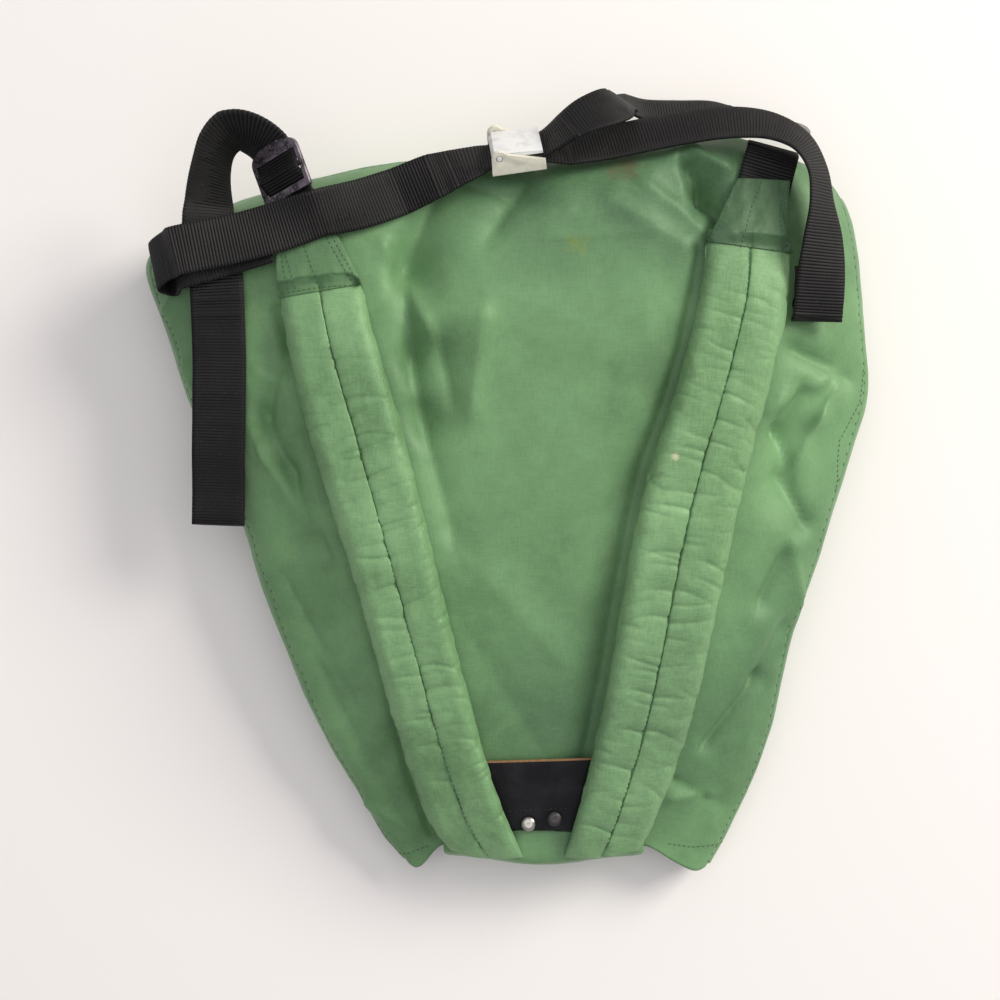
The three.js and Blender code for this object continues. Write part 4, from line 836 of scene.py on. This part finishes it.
for side, line in STRAPS.items():
    stitch_row("stitches_channel_" + side, strap_surface[side], [[p[:2] for p in line]])
stitch_row("stitches_tab_left", tab_surface["left"], [
    [(-130.3, 133.8), (-125.6, 110.6)],
    [(-127.8, 133.8), (-121.4, 111.6)],
    [(-125.6, 110.6), (-108.1, 113.2), (-85.2, 114.4)],
    [(-116.4, 136.3), (-108.1, 113.2)],
    [(-100.4, 142.0), (-85.2, 114.4)],
    [(-103.4, 141.1), (-88.4, 114.2)],
])
stitch_row("stitches_tab_right", tab_surface["right"], [
    [(112.4, 136.2), (132.0, 135.4), (149.4, 134.8), (161.6, 135.0)],
    [(129.8, 173.7), (121.6, 149.1), (112.4, 136.2)],
    [(145.1, 173.7), (139.3, 159.2), (134.2, 141.8), (132.9, 136.0)],
    [(159.2, 172.3), (155.3, 154.9), (158.2, 136.0)],
    [(161.0, 173.7), (157.6, 154.9), (160.8, 136.5)],
])
stitch_row("stitches_bag_edge", bag_surface, [
    [(211.1, 68.5), (209.0, 49.9), (201.8, 36.9), (196.1, 26.9), (195.4, 15.4), (196.1, 3.9), (194.7, -4.8)],
    [(-66.0, -224.2), (-59.9, -223.2), (-48.8, -218.6)],
    [(98.2, -216.4), (111.7, -218.9), (127.0, -218.3), (135.6, -216.2)],
])
stitch_row("stitches_patch", patch_surface, [[(1.3, -193.6), (41.5, -191.2)]],
           thread="black")
stitch_row("stitches_loop_right", loop_surface, [
    [(141.0, 191.0), (167.0, 188.6)], [(140.5, 187.6), (167.0, 185.2)],
], thread="rusty", pitch=2.5, length=2.6, width=0.5)

# The bag's own seams are sewn through beside the seam, on the side that is nearer to the bag's middle. The
# stretches that lie on the floor have no stitches.
SEAM_PITCH = 4.0 * MM
SEAM_INSET = 2.4 * MM
seam_rows = bmesh.new()
placed = []
for a, b in bag_seams:
    middle = (a + b) / 2
    if middle.z < 3 * MM or any((middle - p).length < SEAM_PITCH for p in placed):
        continue
    placed.append(middle)
    inward = Vector((-middle.x, -middle.y, 0)).normalized()
    beside = middle + inward * SEAM_INSET + Vector((0, 0, 0.6 * MM))
    place, normal, _, _ = bag_surface.find_nearest(beside)
    lay_stitch(seam_rows, place, normal, b - a, 2.2, 0.6)
finish_piece(seam_rows, "stitches_bag_seams", threads["green"])

# The floor and the light: a pale matt board that takes soft shadows, a broad window at the upper right, a soft
# fill from above, and the even light of a pale room.
floor_board, tree, shader, place = new_material("pale matt board")
shader.inputs["Base Color"].default_value = linear("#EFEBE5")
shader.inputs["Roughness"].default_value = 0.9
shader.inputs["Specular IOR Level"].default_value = 0.2
board = bmesh.new()
bmesh.ops.create_grid(board, x_segments=1, y_segments=1, size=3.0)
data = bpy.data.meshes.new("floor")
board.to_mesh(data)
board.free()
data.materials.append(floor_board)
floor = bpy.data.objects.new("floor", data)
bpy.context.scene.collection.objects.link(floor)


def area_light(name, place, size, power, tint):
    """A square light that faces the middle of the floor, its place and size in metres and its power in watts."""
    lamp = bpy.data.lights.new(name, "AREA")
    lamp.shape = "SQUARE"
    lamp.size = size
    lamp.energy = power
    lamp.color = linear(tint)[:3]
    holder = bpy.data.objects.new(name, lamp)
    holder.location = place
    holder.rotation_euler = (-Vector(place)).to_track_quat("-Z", "Y").to_euler()
    bpy.context.scene.collection.objects.link(holder)


area_light("window", (2.3, 1.5, 1.8), 1.4, 94.0, "#FFFBF4")
area_light("ceiling", (0.1, 0.2, 2.6), 2.6, 22.0, "#FFFFFF")
world = bpy.data.worlds.new("soft room")
world.use_nodes = True
world.node_tree.nodes["Background"].inputs[0].default_value = linear("#ECEAF6")
world.node_tree.nodes["Background"].inputs[1].default_value = 0.52
bpy.context.scene.world = world
bpy.context.scene.view_settings.view_transform = "Standard"

# The camera looks straight down from the photograph's place.
camera_data = bpy.data.cameras.new("camera")
camera_data.sensor_width = 36.0
camera_data.lens = 59.85
camera_data.clip_end = 20.0
camera = bpy.data.objects.new("camera", camera_data)
camera.location = (-4.65 * MM, -8.33 * MM, 1040 * MM)
bpy.context.scene.collection.objects.link(camera)
bpy.context.scene.camera = camera
